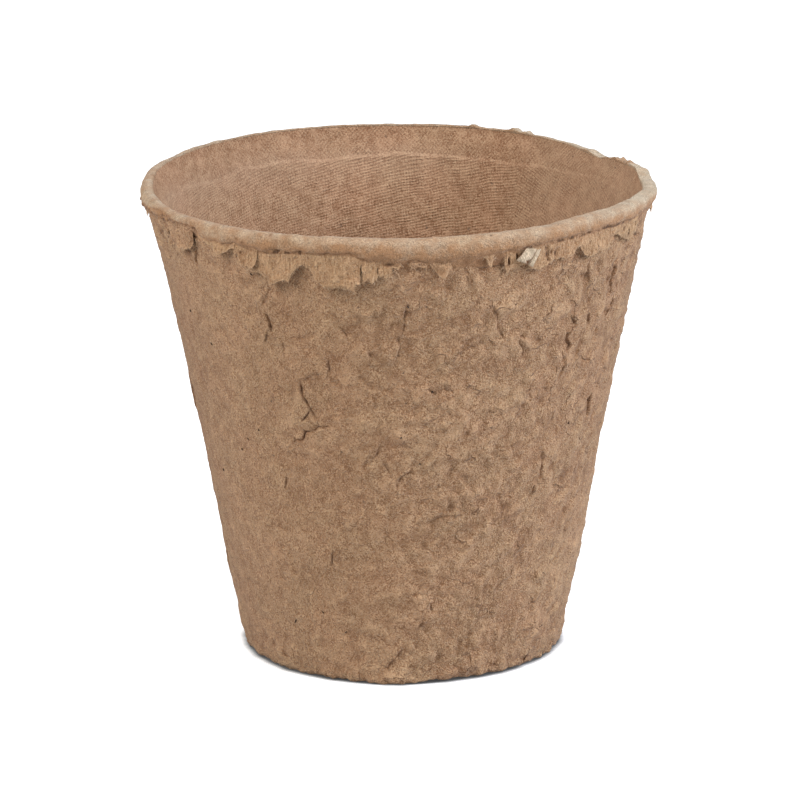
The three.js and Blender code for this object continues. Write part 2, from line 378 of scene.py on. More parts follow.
def wall_relief(points, angle, height):
    """How far the dried pulp stands off the plain cone, and the painted shade in its cracks, creases and
    pits.
    """
    coarse = roughness(angle, height)
    relief, painted_crease_shade = lump_relief(points, coarse)
    for place, level, reach_round, reach_up, pitch, rise in WRINKLES:
        from_spot = np.hypot(distance_round(angle, place, level), height - level)
        ring = rise * np.sin(2 * math.pi * from_spot / pitch)
        relief += ring * near_spot(angle, height, place, level, reach_round, reach_up)
    pitted = smooth_step(pulp_noise(points, SMALL_PIT_PITCH, 12), 0.3, 0.75)
    pitted = pitted * smooth_step(pulp_noise(points, SMALL_PIT_PATCHES, 13), -0.3, 0.4)
    relief -= SMALL_PIT_DEPTH * coarse * pitted
    for *spot, out in SWELLS:
        relief += out * near_spot(angle, height, *spot)
    # Painted shade in the small pits and the creases, then in the pits and along the cracks.
    cracked = np.maximum(SMALL_PIT_SHADE * pitted, CREASE_SHADE * painted_crease_shade)
    for depth, hollow in pit_hollows(angle, height):
        relief -= depth * hollow
        cracked = np.maximum(cracked, PIT_SHADE * hollow)
    for width, depth, near, (distance, side, along) in crack_distances(points, angle, height):
        fade = np.clip(4 * (along + 0.1) * (1.1 - along), 0, 1)
        uneven = np.clip(0.95 + 0.6 * pulp_noise(points[near], CRACK_UNEVENNESS, 16), 0.3, 1.2)
        cut = np.exp(-(distance / width) ** 2)
        groove = cut * fade * uneven
        ledge = np.exp(-distance / (LEDGE_REACH * width)) * (side > 0) * (1 - cut)
        sink = np.exp(-distance / (SINK_REACH * width)) * (side < 0)
        relief[near] += depth * (fade * (LEDGE_SHARE * ledge - SINK_SHARE * sink) - CUT_SHARE * groove)
        cracked[near] = np.maximum(cracked[near], groove * min(1, depth * FULL_SHADE))
    return relief, cracked


def outline_facing(profile):
    """The outward direction, in radius and height, at each point of a closed outline."""
    run = np.roll(profile, -1, axis=0) - np.roll(profile, 1, axis=0)
    run = run / np.linalg.norm(run, axis=-1, keepdims=True)
    return np.stack([run[..., 1], -run[..., 0]], axis=-1)


def turned(outline, angle):
    """Points or directions of radius and height, turned round the pot's axis by angles in degrees."""
    radius, height = outline[..., 0], outline[..., 1]
    turn = np.radians(angle)
    return np.stack([radius * np.sin(turn), -radius * np.cos(turn), height], axis=-1)


def loop_points(profile, angles):
    """Every point of a closed outline turned round the pot's axis to each of the angles, row by row,
    with its outward direction, its angle in degrees from the front and its height."""
    angle = np.tile(angles, len(profile))
    spots = np.repeat(profile, len(angles), axis=0)
    facing = np.repeat(outline_facing(profile), len(angles), axis=0)
    return turned(spots, angle), turned(facing, angle), angle, spots[:, 1]


def finer_loop(rows, columns, busy):
    """The faces of a closed loop whose busy squares are split FINER times each way. Gives the row and
    column of each point, in steps of the finer mesh, and the faces, which close up round the splits."""
    fine_rows, fine_columns = rows * FINER, columns * FINER
    needed = np.zeros((fine_rows, fine_columns), bool)
    needed[::FINER, ::FINER] = True
    steps = np.arange(FINER + 1)
    for row, column in np.argwhere(busy):
        inside = np.ix_((row * FINER + steps) % fine_rows, (column * FINER + steps) % fine_columns)
        needed[inside] = True
    number = np.full(needed.shape, -1)
    number[needed] = np.arange(needed.sum())

    def numbers(top, left, places):
        around = [number[(top + down) % fine_rows, (left + along) % fine_columns] for down, along in places]
        return [int(corner) for corner in around if corner >= 0]

    square = ((0, 0), (0, 1), (1, 1), (1, 0))
    ahead = [(0, step) for step in range(FINER)] + [(step, FINER) for step in range(FINER)]
    border = ahead + [(FINER - down, FINER - along) for down, along in ahead]
    faces = []
    for row, column in np.ndindex(rows, columns):
        top, left = row * FINER, column * FINER
        if busy[row, column]:
            for down, along in np.ndindex(FINER, FINER):
                faces.append(numbers(top + down, left + along, square))
        else:
            faces.append(numbers(top, left, border))
    return np.argwhere(needed), faces


def line(start, end, count):
    """Points from start up to, but not including, end."""
    share = np.linspace(0, 1, count, endpoint=False)[:, None]
    return np.asarray(start) + share * (np.asarray(end) - np.asarray(start))


def arc(centre, radius, start, end, count):
    """Points round a centre, from start up to, but not including, end, in radians."""
    turn = np.linspace(start, end, count, endpoint=False)
    return np.asarray(centre) + radius * np.stack([np.cos(turn), np.sin(turn)], axis=1)


def add_to_scene(name, data):
    held = bpy.data.objects.new(name, data)
    bpy.context.scene.collection.objects.link(held)
    return held


def make_piece(name, points, faces, finish, slot, *stands_for, **marks):
    """A smooth mesh from points in millimetres, with its marks stored on it for its finish to read."""
    mesh = bpy.data.meshes.new(name)
    mesh.from_pydata((points * MM).tolist(), [], faces)
    mesh.polygons.foreach_set("use_smooth", np.ones(len(mesh.polygons), bool))
    for mark, values in marks.items():
        stored = mesh.attributes.new(mark, "FLOAT", "POINT")
        stored.data.foreach_set("value", np.asarray(values, np.float32))
    mesh.materials.append(finish)
    piece = add_to_scene(name, mesh)
    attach(piece, "root")
    if stands_for:
        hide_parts(*stands_for)
    return piece


class Shade:
    """A value, a colour or a place that a material's nodes work out. Its sums, its products and what its
    methods give are shades too."""

    def __init__(self, tree, socket):
        self.tree = tree
        self.socket = socket

    def node(self, kind, values, output=0, **settings):
        """What a new node gives, with its settings, and with each value linked or typed in."""
        node = self.tree.nodes.new(kind)
        for setting, choice in settings.items():
            setattr(node, setting, choice)
        for socket, value in values.items():
            if isinstance(value, Shade):
                value.link(node.inputs[socket])
            else:
                node.inputs[socket].default_value = value
        return Shade(self.tree, node.outputs[output])

    def link(self, socket):
        self.tree.links.new(self.socket, socket)

    def beside(self, output):
        """Another output of the same node."""
        return Shade(self.tree, self.socket.node.outputs[output])

    def maths(self, operation, other=0):
        return self.node("ShaderNodeMath", {0: self, 1: other}, operation=operation)

    def __add__(self, other):
        return self.maths("ADD", other)

    def __sub__(self, other):
        return self.maths("SUBTRACT", other)

    def __mul__(self, other):
        return self.maths("MULTIPLY", other)

    def most(self, other):
        return self.maths("MAXIMUM", other)

    def least(self, other):
        return self.maths("MINIMUM", other)

    def clamped(self):
        return self.node("ShaderNodeClamp", {"Value": self})

    def spread(self, low, high, to_low=0, to_high=1):
        """Its range from low to high, stretched to another range and held there."""
        values = {"Value": self, "From Min": low, "From Max": high, "To Min": to_low, "To Max": to_high}
        return self.node("ShaderNodeMapRange", values, "Result")

    def mix(self, first, second):
        """The first colour where it is 0, and the second where it is 1."""
        first, second = (one if isinstance(one, Shade) else (*one, 1) for one in (first, second))
        return self.node("ShaderNodeMix", {0: self, 6: first, 7: second}, 2, data_type="RGBA")

    def scaled(self, amount):
        return self.node("ShaderNodeVectorMath", {0: self, 3: amount}, operation="SCALE")

    def noise(self, pitch, detail=2, roughness=0.5, output="Fac"):
        values = {"Vector": self, "Scale": 1 / (pitch * MM), "Detail": detail, "Roughness": roughness}
        return self.node("ShaderNodeTexNoise", values, output)

    def lying_noise(self, turn, size):
        """Noise drawn out into short streaks of one direction, of a width and a length."""
        width, length = size
        values = {"Vector": self, "Rotation": turn, "Scale": (width, width, length)}
        return self.node("ShaderNodeMapping", values, vector_type="TEXTURE").noise(1, 1)

    def fibres(self, turn, size, cut):
        """Separate streaks of one direction: 1 on a fibre, 0 off it. The higher the cut, the fewer."""
        return self.lying_noise(turn, size).spread(cut, cut + 0.08)

    def mark(self, name):
        """What the mesh has stored under a name."""
        return self.node("ShaderNodeAttribute", {}, "Fac", attribute_name=name)


# Streaks in the pulp: their turns in radians, and their width and length.
GRAIN_TURNS = ((0.3, 0.5, 0), (0.2, -1.0, 0), (-0.3, 1.4, 0), (-0.2, -0.2, 0))
GRAIN_SIZE = (0.3, 1.0)
FIBRE_TURNS = ((0.3, 0.7, 0), (0.3, -0.8, 0), (-0.3, 1.3, 0))
FIBRE_SIZE = (0.16, 1.7)
# Gaps between fibres, painted as dark streaks of shade.
GAP_SHADE_TURNS = ((0.25, -0.5, 0.2), (-0.2, 0.9, 0))
GAP_SHADE_SIZE = (0.2, 0.6)
SPLINTER_TURN = (0.2, 0.35, 0.3)
SPLINTER_SIZE = (0.17, 0.6)
# Pitches of what changes from place to place.
PATCH_PITCH = 2.4
UNEVEN_PITCH = 1.7
FINE_PITCH = 0.28
FOLD_PITCH = 6.5
FOLD_PATCHES = 5
CLOUD_PITCH = 9
SPECK_PITCH = 4.5
SPECK_EDGE_PITCH = 0.3
STRAND_PITCH = 0.36
STRAND_SQUEEZE = (1, 1, 0.16)  # upright strands vary this much less along than across
WALL_GRAIN = (0.62, 1.5, 0.85)  # how much patches, grains and fine grains lighten and darken it
GRAIN_DEPTH = 0.62
PALE_FIBRE = (0.56, 0.42, 0.29)
DARK_SPECK = (0.1, 0.06, 0.04)
# The brown of painted shade in cracks and hollows, and of the real stain on the paper chip.
SHADE_AND_STAIN_BROWN = (0.18, 0.082, 0.037)
PINK_TINT = (1.012, 0.99, 0.98)
OLIVE_TINT = (0.985, 1.008, 1.0)
PULP_SHEEN = 0.08  # the fuzz of loose fibre ends
PULP_GLOSS = 0.18


def new_finish(name):
    """A plain material, and the place on its piece that its nodes start from."""
    finish = bpy.data.materials.new(name)
    finish.use_nodes = True
    place = finish.node_tree.nodes.new("ShaderNodeTexCoord").outputs["Object"]
    return finish, Shade(finish.node_tree, place)


def pulp_grain(place, amounts):
    """How light the pulp is from place to place, from 0 to 1, and the height of its grain."""
    patchy, grainy, fine_grainy = amounts
    patch = place.noise(PATCH_PITCH, 3, 0.55)
    lying = [place.lying_noise(turn, GRAIN_SIZE) for turn in GRAIN_TURNS]
    grain = (lying[0].most(lying[1]) + lying[2].least(lying[3])) * 0.5
    fine = place.noise(FINE_PITCH, 1)
    grains = grain.spread(0, 1, -grainy, grainy) + fine.spread(0, 1, -fine_grainy, fine_grainy)
    uneven = place.noise(UNEVEN_PITCH, 3).spread(0.3, 0.7, 0.25, 1.75)
    share = patch.spread(0, 1, -patchy, patchy) + 0.5 + grains * uneven
    return share, grain + fine * 0.4 + patch * 0.8


def pulp_folds(place):
    """Thin skins that dried over one another: their height, and the painted shade along their edges."""
    wave = place.noise(FOLD_PITCH, 3)
    skin = wave.spread(0.4, 0.5) * wave.spread(0.5, 0.516, 1, 0)
    edge = (wave - 0.512).maths("ABSOLUTE").spread(0, 0.02, 1, 0)
    shown = place.noise(FOLD_PATCHES).spread(0.5, 0.6) * place.mark("coarse")
    return skin * shown, edge * shown


def pulp_tints(place, colour):
    """Faint pinkish and olive clouds, as in paper pulped from mixed waste."""
    tint = place.noise(CLOUD_PITCH, 3, 0.55).spread(0.36, 0.64).mix(PINK_TINT, OLIVE_TINT)
    return colour.node("ShaderNodeVectorMath", {0: colour, 1: tint}, operation="MULTIPLY")


def pulp_flecks(place, colour, strength, specked=0.3):
    """Pale fibres and a few dark specks over a colour, and where the fibres are."""
    first, second, third = (place.fibres(turn, FIBRE_SIZE, 0.63) for turn in FIBRE_TURNS)
    fibres = first.most(second).most(third)
    colour = (fibres * strength).mix(colour, PALE_FIBRE)
    splinters = place.fibres(SPLINTER_TURN, SPLINTER_SIZE, 0.69)
    colour = (splinters * 0.5).mix(colour, DARK_SPECK)
    cells = {"Vector": place, "Scale": 1 / (SPECK_PITCH * MM)}
    from_speck = place.node("ShaderNodeTexVoronoi", cells, "Distance")
    chosen = place.node("ShaderNodeSeparateColor", {0: from_speck.beside("Color")})
    wander = place.noise(SPECK_EDGE_PITCH, 1).spread(0.3, 0.7, -0.03, 0.03)
    speck = (from_speck + wander).spread(0.045, 0.07, 1, 0) * chosen.spread(specked, specked + 0.02, 1, 0)
    return (speck * 0.7).mix(colour, DARK_SPECK), fibres


def with_painted_shade(colour):
    """A colour with painted shade in cracks, creases, pits and hollows, darkest where that shade is deepest.
    """
    cracked = colour.mark("cracked")
    return (cracked * 0.85).mix(colour, SHADE_AND_STAIN_BROWN).scaled(cracked.spread(0.75, 1, 1, 0.5))


def finish_skin(colour, height, depth, roughness):
    """Joins a colour and a bump of the given depth in millimetres to the material's shader."""
    skin = colour.tree.nodes["Principled BSDF"].inputs
    skin["Roughness"].default_value = roughness
    skin["Specular IOR Level"].default_value = PULP_GLOSS
    skin["Sheen Weight"].default_value = PULP_SHEEN
    bump = height.node("ShaderNodeBump", {"Strength": 1, "Distance": depth * MM, "Height": height})
    colour.link(skin["Base Color"])
    bump.link(skin["Normal"])


def rough_pulp(name, deep, light, grainy=1.0, streaked=0.0):
    """Free pulp: grain, fibres and specks, painted shade in cracks, hollows and fibre gaps, painted light on
    what stands up. Torn pulp is smoother, and streaked along the strands that the tear pulled straight."""
    finish, place = new_finish(name)
    share, height = pulp_grain(place, [grainy * amount for amount in WALL_GRAIN])
    # Painted light on what stands up, and painted shade on what is sunk.
    share = share + place.mark("standing").spread(-0.6, 0.6, -0.23, 0.23)
    # Painted shade in the gaps between fibres.
    for turn in GAP_SHADE_TURNS:
        share = share - place.fibres(turn, GAP_SHADE_SIZE, 0.64) * (0.35 * grainy)
    if streaked:
        pulled = place.node("ShaderNodeMapping", {"Vector": place, "Scale": STRAND_SQUEEZE})
        strands = pulled.noise(STRAND_PITCH, 3, 0.6)
        share = share + strands.spread(0.25, 0.75, -streaked, streaked)
        height = height + strands * (3 * streaked)
    fold, fold_edge_shade = pulp_folds(place)
    colour = pulp_tints(place, share.clamped().mix(deep, light))
    colour, fibres = pulp_flecks(place, colour, strength=0.3)
    # Painted shade along the fold edges, then in cracks and hollows.
    colour = with_painted_shade((fold_edge_shade * 0.3).mix(colour, SHADE_AND_STAIN_BROWN))
    height = height + fibres * 0.12 + fold * 0.35
    finish_skin(colour, height, depth=GRAIN_DEPTH * grainy, roughness=0.95)
    return finish


heel_centre = outer_radius(HEEL_RADIUS) - HEEL_RADIUS / math.cos(TAPER)
heel_top = HEEL_RADIUS - HEEL_RADIUS * math.sin(TAPER)
wall_profile = np.concatenate([
    line((RING_INNER_RADIUS, RING_RISE), (RING_OUTER_RADIUS, 0), RING_ROWS),
    line((RING_OUTER_RADIUS, 0), (heel_centre, 0), RING_ROWS),
    arc((heel_centre, HEEL_RADIUS), HEEL_RADIUS, -math.pi / 2, -TAPER, HEEL_ROWS),
    line((outer_radius(heel_top), heel_top), (outer_radius(WALL_TOP), WALL_TOP), WALL_ROWS),
    [(outer_radius(WALL_TOP), WALL_TOP)],
    [(outer_radius(WALL_TOP) - HIDDEN_DEPTH, WALL_TOP)],
    [(outer_radius(foot.z) - HIDDEN_DEPTH, foot.z)],
    [(RING_OUTER_RADIUS, HEEL_RADIUS)],
])
rows = len(wall_profile)
shown_rows = rows - 3
column_angle = np.concatenate([
    np.linspace(-FRONT_REACH, FRONT_REACH, FRONT_COLUMNS, endpoint=False),
    np.linspace(FRONT_REACH, 360 - FRONT_REACH, BACK_COLUMNS, endpoint=False),
])
columns = len(column_angle)
next_angle = np.append(column_angle, column_angle[0] + 360)

# The squares of the mesh that a crack or a pit crosses are split.
centre_row = (wall_profile + np.roll(wall_profile, -1, axis=0)) / 2
points, _, angle, height = loop_points(centre_row, (next_angle[1:] + next_angle[:-1]) / 2)
busy = np.zeros(len(points), bool)
for _, _, near, (distance, _, _) in crack_distances(points, angle, height):
    busy[near[distance < FINE_CRACK_REACH]] = True
for _, hollow in pit_hollows(angle, height):
    busy |= hollow > FINE_PIT_SHARE
busy = busy.reshape(rows, columns)
busy[shown_rows - 1:] = False
spots, faces = finer_loop(rows, columns, busy)

row = spots[:, 0] // FINER
part_row = spots[:, :1] % FINER / FINER
angle = degrees_apart(np.interp(spots[:, 1] / FINER, np.arange(columns + 1), next_angle), 0)
points, facing = (
    turned((1 - part_row) * outline[row] + part_row * outline[(row + 1) % rows], angle)
    for outline in (wall_profile, outline_facing(wall_profile))
)
relief, cracked = wall_relief(points, angle, points[:, 2])
relief = np.where(row < shown_rows, relief, 0)
relief = np.where(row < 2 * RING_ROWS, RING_RELIEF * relief, relief)
points = points + facing * relief[:, None]
gap = STAND_GAP * np.clip(0.5 + pulp_noise(points * LEVEL, STAND_PITCH, 17), 0, 1)
points[:, 2] = np.maximum(points[:, 2] + gap * (1 - smooth_step(points[:, 2], 0, FOOT_REACH)), 0)
wall_finish = rough_pulp("wall_pulp", WALL_DEEP, WALL_LIGHT)
make_piece(
    "moulded_wall", points, faces, wall_finish, "pulp_wall", "side_wall",
    standing=relief, cracked=cracked * (row < shown_rows), coarse=roughness(angle, points[:, 2]),
)

# The lining. The same skin's inner face, pressed against the wire cloth of the mould, which printed its
# weave into the pulp. The cloth met itself in one upright seam, where the weave changes direction, and
# a second strip of it lined the flare above the shoulder.
lip_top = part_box("rim_lip")[1] / MM
BEAD_WIDTH = 3.4
FLOOR_THICKNESS = 3
FILLET_RADIUS = 3
LINING_FLOOR_RADIUS = 26
LINING_FLOOR_DROP = 0.3  # how far it dives under the floor's top there
RIM_DROP = 0.7  # from the top of the lip down to the lining's upper edge
SHOULDER_HEIGHT = 1
SHOULDER_STEP = 0.35
SHOULDER_WANDER = 1.1
SHOULDER_WAVES = ((16, 1), (7, 0.5))  # pitch and share
SHOULDER_REACH = 2.5  # how far up and down the lining wanders with it
LINING_COLUMNS = 480
BAND_ROWS = 14
SHOULDER_ROWS = 8
LINING_ROWS = 84
FILLET_ROWS = 8
LINING_FLOOR_ROWS = 4
LINING_LUMPS = ((22, 0.3), (8, 0.14), (3.5, 0.08))
LUMPS_FADE = (3, 0.6)  # how far below its upper edge they start to fade, and where they end
LINING_EDGE = 0.1  # its thickness at the floor
RIM_BACK = (0.5, 0.3)  # how far behind its upper edge and below it the hidden side starts
WEAVE_PITCH = 0.66
WIRE_DEPTHS = (0.5, 1.0)  # shares: how deep the upright wires and the level ones printed
CLOTH_WANDER = 1.2
WANDER_SIZE = 6
CLEAR_PITCH = 3  # of the places where it printed clearly
FINELY_CLEAR_PITCH = 0.9
PRINT_CLEARNESS = (0.6, 0.85)  # in the strip above the shoulder, and below it
SEAM_ANGLE = 148  # degrees from the front
CLOTH_TILTS = (-11, 24, -48)  # left of the seam, right of it and in the strip above the shoulder
RIGHT_CLOTH_SPAN = 110
STRIP_BOTTOM = seat.z - 0.4
LINING_GRAIN = (0.8, 1.55, 0.75)
LINING_DEEP = (0.206, 0.0985, 0.048)
LINING_LIGHT = (0.42, 0.252, 0.148)
# The colour of the painted light on the lining.
PAINTED_LINING_LIGHT = (0.45, 0.31, 0.208)
# Where painted light falls on the ledge of the shoulder, and on the lining below it: the middle, and how far
# to
# either side it is full and gone, in degrees.
LEDGE_LIGHT_SPAN = (-135, 45, 75)
SIDE_LIGHT_SPAN = (122, 12, 34)
SIDE_LIGHT_SHARE = 0.7
# The top of the lip, as degrees from the front and height: it sags and is torn at the back right.
LIP_TOPS = (
    (-180, 102.4), (-150, 102.8), (-120, 102.8), (-100, 102.5), (-85, 101.7), (-60, 101.5), (-40, 101.5),
    (-25, 101.8), (-12, 102), (36, 102), (44, 102.5), (54, 102.3), (64, 102.2), (76, 102), (84, 100.8),
    (96, 100.4), (102, 101.6), (107, 101.4), (111, 101), (116, 101), (119, 100.7), (122, 100.2),
    (126, 100.3), (130, 100.9), (134, 101.3), (143, 101.8), (155, 102.2), (180, 102.4),
)
# How far in the lip reaches from the top of its bead: it is thin at the left.
LIP_REACHES = (
    (-180, 1.35), (-120, 1.2), (-100, 0.6), (-94, 0.8), (-86, 0.95), (-74, 0.95), (-67, 0.2),
    (-60, 0.15), (-45, 0.8), (-30, 1.35), (180, 1.35),
)
# How far the lip falls from its top to its inner corner. At the back that corner stands highest.
LIP_FALLS = (
    (-180, -0.35), (-115, -0.35), (-98, 0.2), (-82, 0.7), (8, 0.7), (22, 0.2), (36, 0.1), (62, 0.1),
    (78, 0.6), (94, 0.4), (104, -0.3), (180, -0.35),
)
LIP_SKIN = 0.1  # how far the lip stands in front of the lining
LIP_SHOWN = 0.3  # how far down it does so


def even_angles(columns):
    return np.linspace(-180, 180, columns, endpoint=False)


def loop_faces(rows, columns):
    row, column = np.meshgrid(np.arange(rows), np.arange(columns), indexing="ij")
    next_row = (row + 1) % rows * columns
    next_column = (column + 1) % columns
    row = row * columns
    corners = (row + column, row + next_column, next_row + next_column, next_row + column)
    return np.stack(corners, axis=-1).reshape(-1, 4).tolist()


def lumpy(points, lumps, seed):
    """The sum of noises, each with its own pitch and height."""
    total = np.zeros(len(points))
    for number, (pitch, lump) in enumerate(lumps):
        total += lump * pulp_noise(points, pitch, seed + number)
    return total


def round_share(angle, middle, full, none):
    """1 up to full degrees from a middle, falling to 0 at none degrees from it."""
    return 1 - smooth_step(np.abs(degrees_apart(angle, middle)), full, none)


def add_weave_map(piece, angle, height):
    """Stores, for each corner of each face, its place on the wire cloth in millimetres."""
    mesh = piece.data
    corner = np.zeros(len(mesh.loops), int)
    mesh.loops.foreach_get("vertex_index", corner)
    around = degrees_apart(angle[corner], SEAM_ANGLE).reshape(-1, 4)
    level = height[corner].reshape(-1, 4)
    split = np.ptp(around, axis=1) > 180
    around = np.where(split[:, None] & (around < 0), around + 360, around)
    middle = around.mean(axis=1)
    middle_level = level.mean(axis=1)
    cloth = np.where((middle < 0) & (middle > -RIGHT_CLOTH_SPAN), 1, 0)
    cloth = np.where(middle_level > STRIP_BOTTOM, 2, cloth)
    tilt = np.radians(np.array(CLOTH_TILTS)[cloth])[:, None]
    run = np.radians(around) * outer_radius(middle_level)[:, None]
    rise = level / math.cos(TAPER)
    along = run * np.cos(tilt) + rise * np.sin(tilt)
    upward = rise * np.cos(tilt) - run * np.sin(tilt)
    stored = mesh.uv_layers.new(name="cloth")
    stored.data.foreach_set("uv", np.stack([along, upward], axis=-1).reshape(-1).astype(np.float32))


def weave_height(place):
    """The print of the wire cloth: raised dots of pulp between crossing wires, clearer in some places."""
    cloth = place.node("ShaderNodeUVMap", {}, uv_map="cloth")
    shift = place.noise(WANDER_SIZE, output="Color").scaled(CLOTH_WANDER)
    cloth = place.node("ShaderNodeVectorMath", {0: cloth, 1: shift})
    ways = place.node("ShaderNodeSeparateXYZ", {0: cloth})
    upright, level = (
        (ways.beside(way) * (2 * math.pi / WEAVE_PITCH)).maths("SINE") * depth
        for way, depth in zip("XY", WIRE_DEPTHS)
    )
    clear = place.noise(CLEAR_PITCH, 4, 0.7).spread(0.3, 0.7, 0.2, 1.2)
    finely_clear = place.noise(FINELY_CLEAR_PITCH).spread(0.35, 0.65, 0.4, 1.4)
    return (upright + level) * (clear * finely_clear * place.mark("printed"))


def printed_pulp(name):
    """Pulp with the weave of the mould printed in it, with painted light on the ledge under the flare."""
    finish, place = new_finish(name)
    share, grain = pulp_grain(place, LINING_GRAIN)
    weave = weave_height(place)
    colour = (share + weave * 0.26).clamped().mix(LINING_DEEP, LINING_LIGHT)
    # Painted light on the ledge and on the inner wall at the right.
    colour = (place.mark("ledge") * 0.3).mix(pulp_tints(place, colour), PAINTED_LINING_LIGHT)
    colour, _ = pulp_flecks(place, colour, strength=0.25, specked=0.7)
    finish_skin(colour, grain * 0.6 + weave * 0.25, depth=0.25, roughness=0.94)
    return finish


bead_centre = lip_top.x - BEAD_WIDTH / 2
plain_rim_radius = bead_centre - BEAD_WIDTH / 2
rim_height = lip_top.z - RIM_DROP
fillet_height = FLOOR_THICKNESS + FILLET_RADIUS
fillet_centre = inner_radius(fillet_height) - FILLET_RADIUS / math.cos(TAPER)
fillet_top = fillet_height - FILLET_RADIUS * math.sin(TAPER)
inner_depth = WALL_THICKNESS / 2
shoulder_low = seat.z - SHOULDER_HEIGHT
shoulder_high = inner_radius(seat.z) + SHOULDER_STEP
shoulder_share = np.linspace(0, 1, SHOULDER_ROWS, endpoint=False)
shoulder_ease = 0.5 + 0.5 * np.cos(np.pi * shoulder_share)
wall_start = (inner_radius(shoulder_low), shoulder_low)
shoulder_radii = wall_start[0] + shoulder_ease * (shoulder_high - wall_start[0])
lining_edge = FLOOR_THICKNESS - LINING_FLOOR_DROP
lining_profile = np.concatenate([
    line((plain_rim_radius, rim_height), (shoulder_high, seat.z), BAND_ROWS),
    np.stack([shoulder_radii, seat.z + shoulder_share * (shoulder_low - seat.z)], axis=1),
    line(wall_start, (inner_radius(fillet_top), fillet_top), LINING_ROWS),
    arc((fillet_centre, fillet_height), FILLET_RADIUS, -TAPER, -math.pi / 2, FILLET_ROWS),
    line((fillet_centre, FLOOR_THICKNESS), (LINING_FLOOR_RADIUS, lining_edge), LINING_FLOOR_ROWS),
    [(LINING_FLOOR_RADIUS, lining_edge - LINING_EDGE)],
    [(fillet_centre, inner_depth)],
    [(inner_radius(fillet_top) + inner_depth, fillet_top)],
    [(inner_radius(seat.z) + inner_depth, seat.z)],
    [(plain_rim_radius + RIM_BACK[0], rim_height - RIM_BACK[1])],
])
points, facing, angle, height = loop_points(lining_profile, even_angles(LINING_COLUMNS))
row = np.repeat(np.arange(len(lining_profile)), LINING_COLUMNS)
fade_low, fade_high = (rim_height - drop for drop in LUMPS_FADE)
relief = lumpy(points, LINING_LUMPS, 20) * (1 - smooth_step(height, fade_low, fade_high))
shown = row < BAND_ROWS + SHOULDER_ROWS + LINING_ROWS + FILLET_ROWS
points = points + facing * np.where(shown, relief, 0)[:, None]
wander = SHOULDER_WANDER * lumpy(points * LEVEL, SHOULDER_WAVES, 25)
points[:, 2] += wander * np.exp(-((height - seat.z) / SHOULDER_REACH) ** 2)

# Its upper edge follows the uneven lip, just behind it.
corner_fall = round_value(LIP_FALLS, angle)
rim_level = round_value(LIP_TOPS, angle) + np.minimum(corner_fall, 0) - corner_fall - LIP_SHOWN
to_rim = smooth_step(height, seat.z, rim_height)
points[:, 2] += (rim_level - rim_height) * to_rim
flare = bead_centre - round_value(LIP_REACHES, angle) + LIP_SKIN - plain_rim_radius
points += turned(np.stack([flare, 0 * angle], axis=-1), angle) * to_rim[:, None]
# Painted light along the shoulder's ledge, and over the inner wall at the right.
from_ledge = (row - BAND_ROWS - SHOULDER_ROWS / 2) / SHOULDER_ROWS
ledge = np.exp(-from_ledge ** 2) * round_share(angle, *LEDGE_LIGHT_SPAN)
faces = loop_faces(len(lining_profile), LINING_COLUMNS)
lining = make_piece(
    "printed_lining", points, faces, printed_pulp("lining_pulp"), "pulp_wall",
    ledge=np.maximum(ledge, SIDE_LIGHT_SHARE * round_share(angle, *SIDE_LIGHT_SPAN)),
    printed=np.where(row < BAND_ROWS, *PRINT_CLEARNESS),
)
add_weave_map(lining, angle, height)

# The floor. A disc of the same moulding, rough on both faces, without the wire print its top has; below, it
# is
# slightly dished so that the pot stands on its rim. A round drain hole was left in the middle.
DRAIN_RADIUS = 5
FLOOR_EDGE_RADIUS = 29
FLOOR_DISH = 0.5
FLOOR_COLUMNS = 256
FLOOR_COARSE = 0.7
# The corners of its outline: radius, height, and the rows from there to the next corner.
FLOOR_CORNERS = (
    (DRAIN_RADIUS + 0.6, FLOOR_DISH, 44),
    (FLOOR_EDGE_RADIUS, FLOOR_DISH, 4),
    (FLOOR_EDGE_RADIUS, FLOOR_THICKNESS - 0.2, 44),
    (DRAIN_RADIUS + 0.7, FLOOR_THICKNESS, 4),
    (DRAIN_RADIUS, FLOOR_THICKNESS - 0.6, 6),
    (DRAIN_RADIUS, FLOOR_DISH + 0.6, 4),
)
floor_profile = np.concatenate([
    line(corner[:2], after[:2], corner[2])
    for corner, after in zip(FLOOR_CORNERS, FLOOR_CORNERS[1:] + FLOOR_CORNERS[:1])
])
points, facing, angle, height = loop_points(floor_profile, even_angles(FLOOR_COLUMNS))
relief = lumpy(points, LUMPS[1:], 30)
points = points + facing * relief[:, None]
points[:, 2] = np.maximum(points[:, 2], 0)
faces = loop_faces(len(floor_profile), FLOOR_COLUMNS)
make_piece(
    "moulded_floor", points, faces, wall_finish, "pulp_wall", "pot_floor",
    standing=relief, cracked=np.zeros(len(points)), coarse=np.full(len(points), FLOOR_COARSE),
)

# partly from the pressing and partly by painted light.
# The lip. The rim of the skin, folded out and pressed to a smooth, sandy bead that is paler on top,
# Its lower edge was trimmed, which tore it, and a stretch at the back right lost part of its top.
LIP_COLUMNS = 900
BEAD_ROWS = 40
BROW_ROWS = 10
NECK_ROWS = 10
EASED_COLUMNS = 7  # how many columns the bead's uneven edges are smoothed over
BEAD_SQUARENESS = 0.85
BEAD_START = -0.9  # where the neck runs into the bead, in radians below its middle
NECK_LOW = seat.z - 1
NECK_SUNK = 0.25  # how far under the wall's face the neck starts
NECK_HOLLOW = 1.5  # the larger, the later the neck sweeps out
LIP_TUCK = (0.15, 0.8)  # how far down behind the lining's edge it runs on, in two steps
LIP_BURIED = 0.9  # how far behind the lining's face it lies there
LIP_BACK = 0.8  # how far under the wall's face its hidden side starts
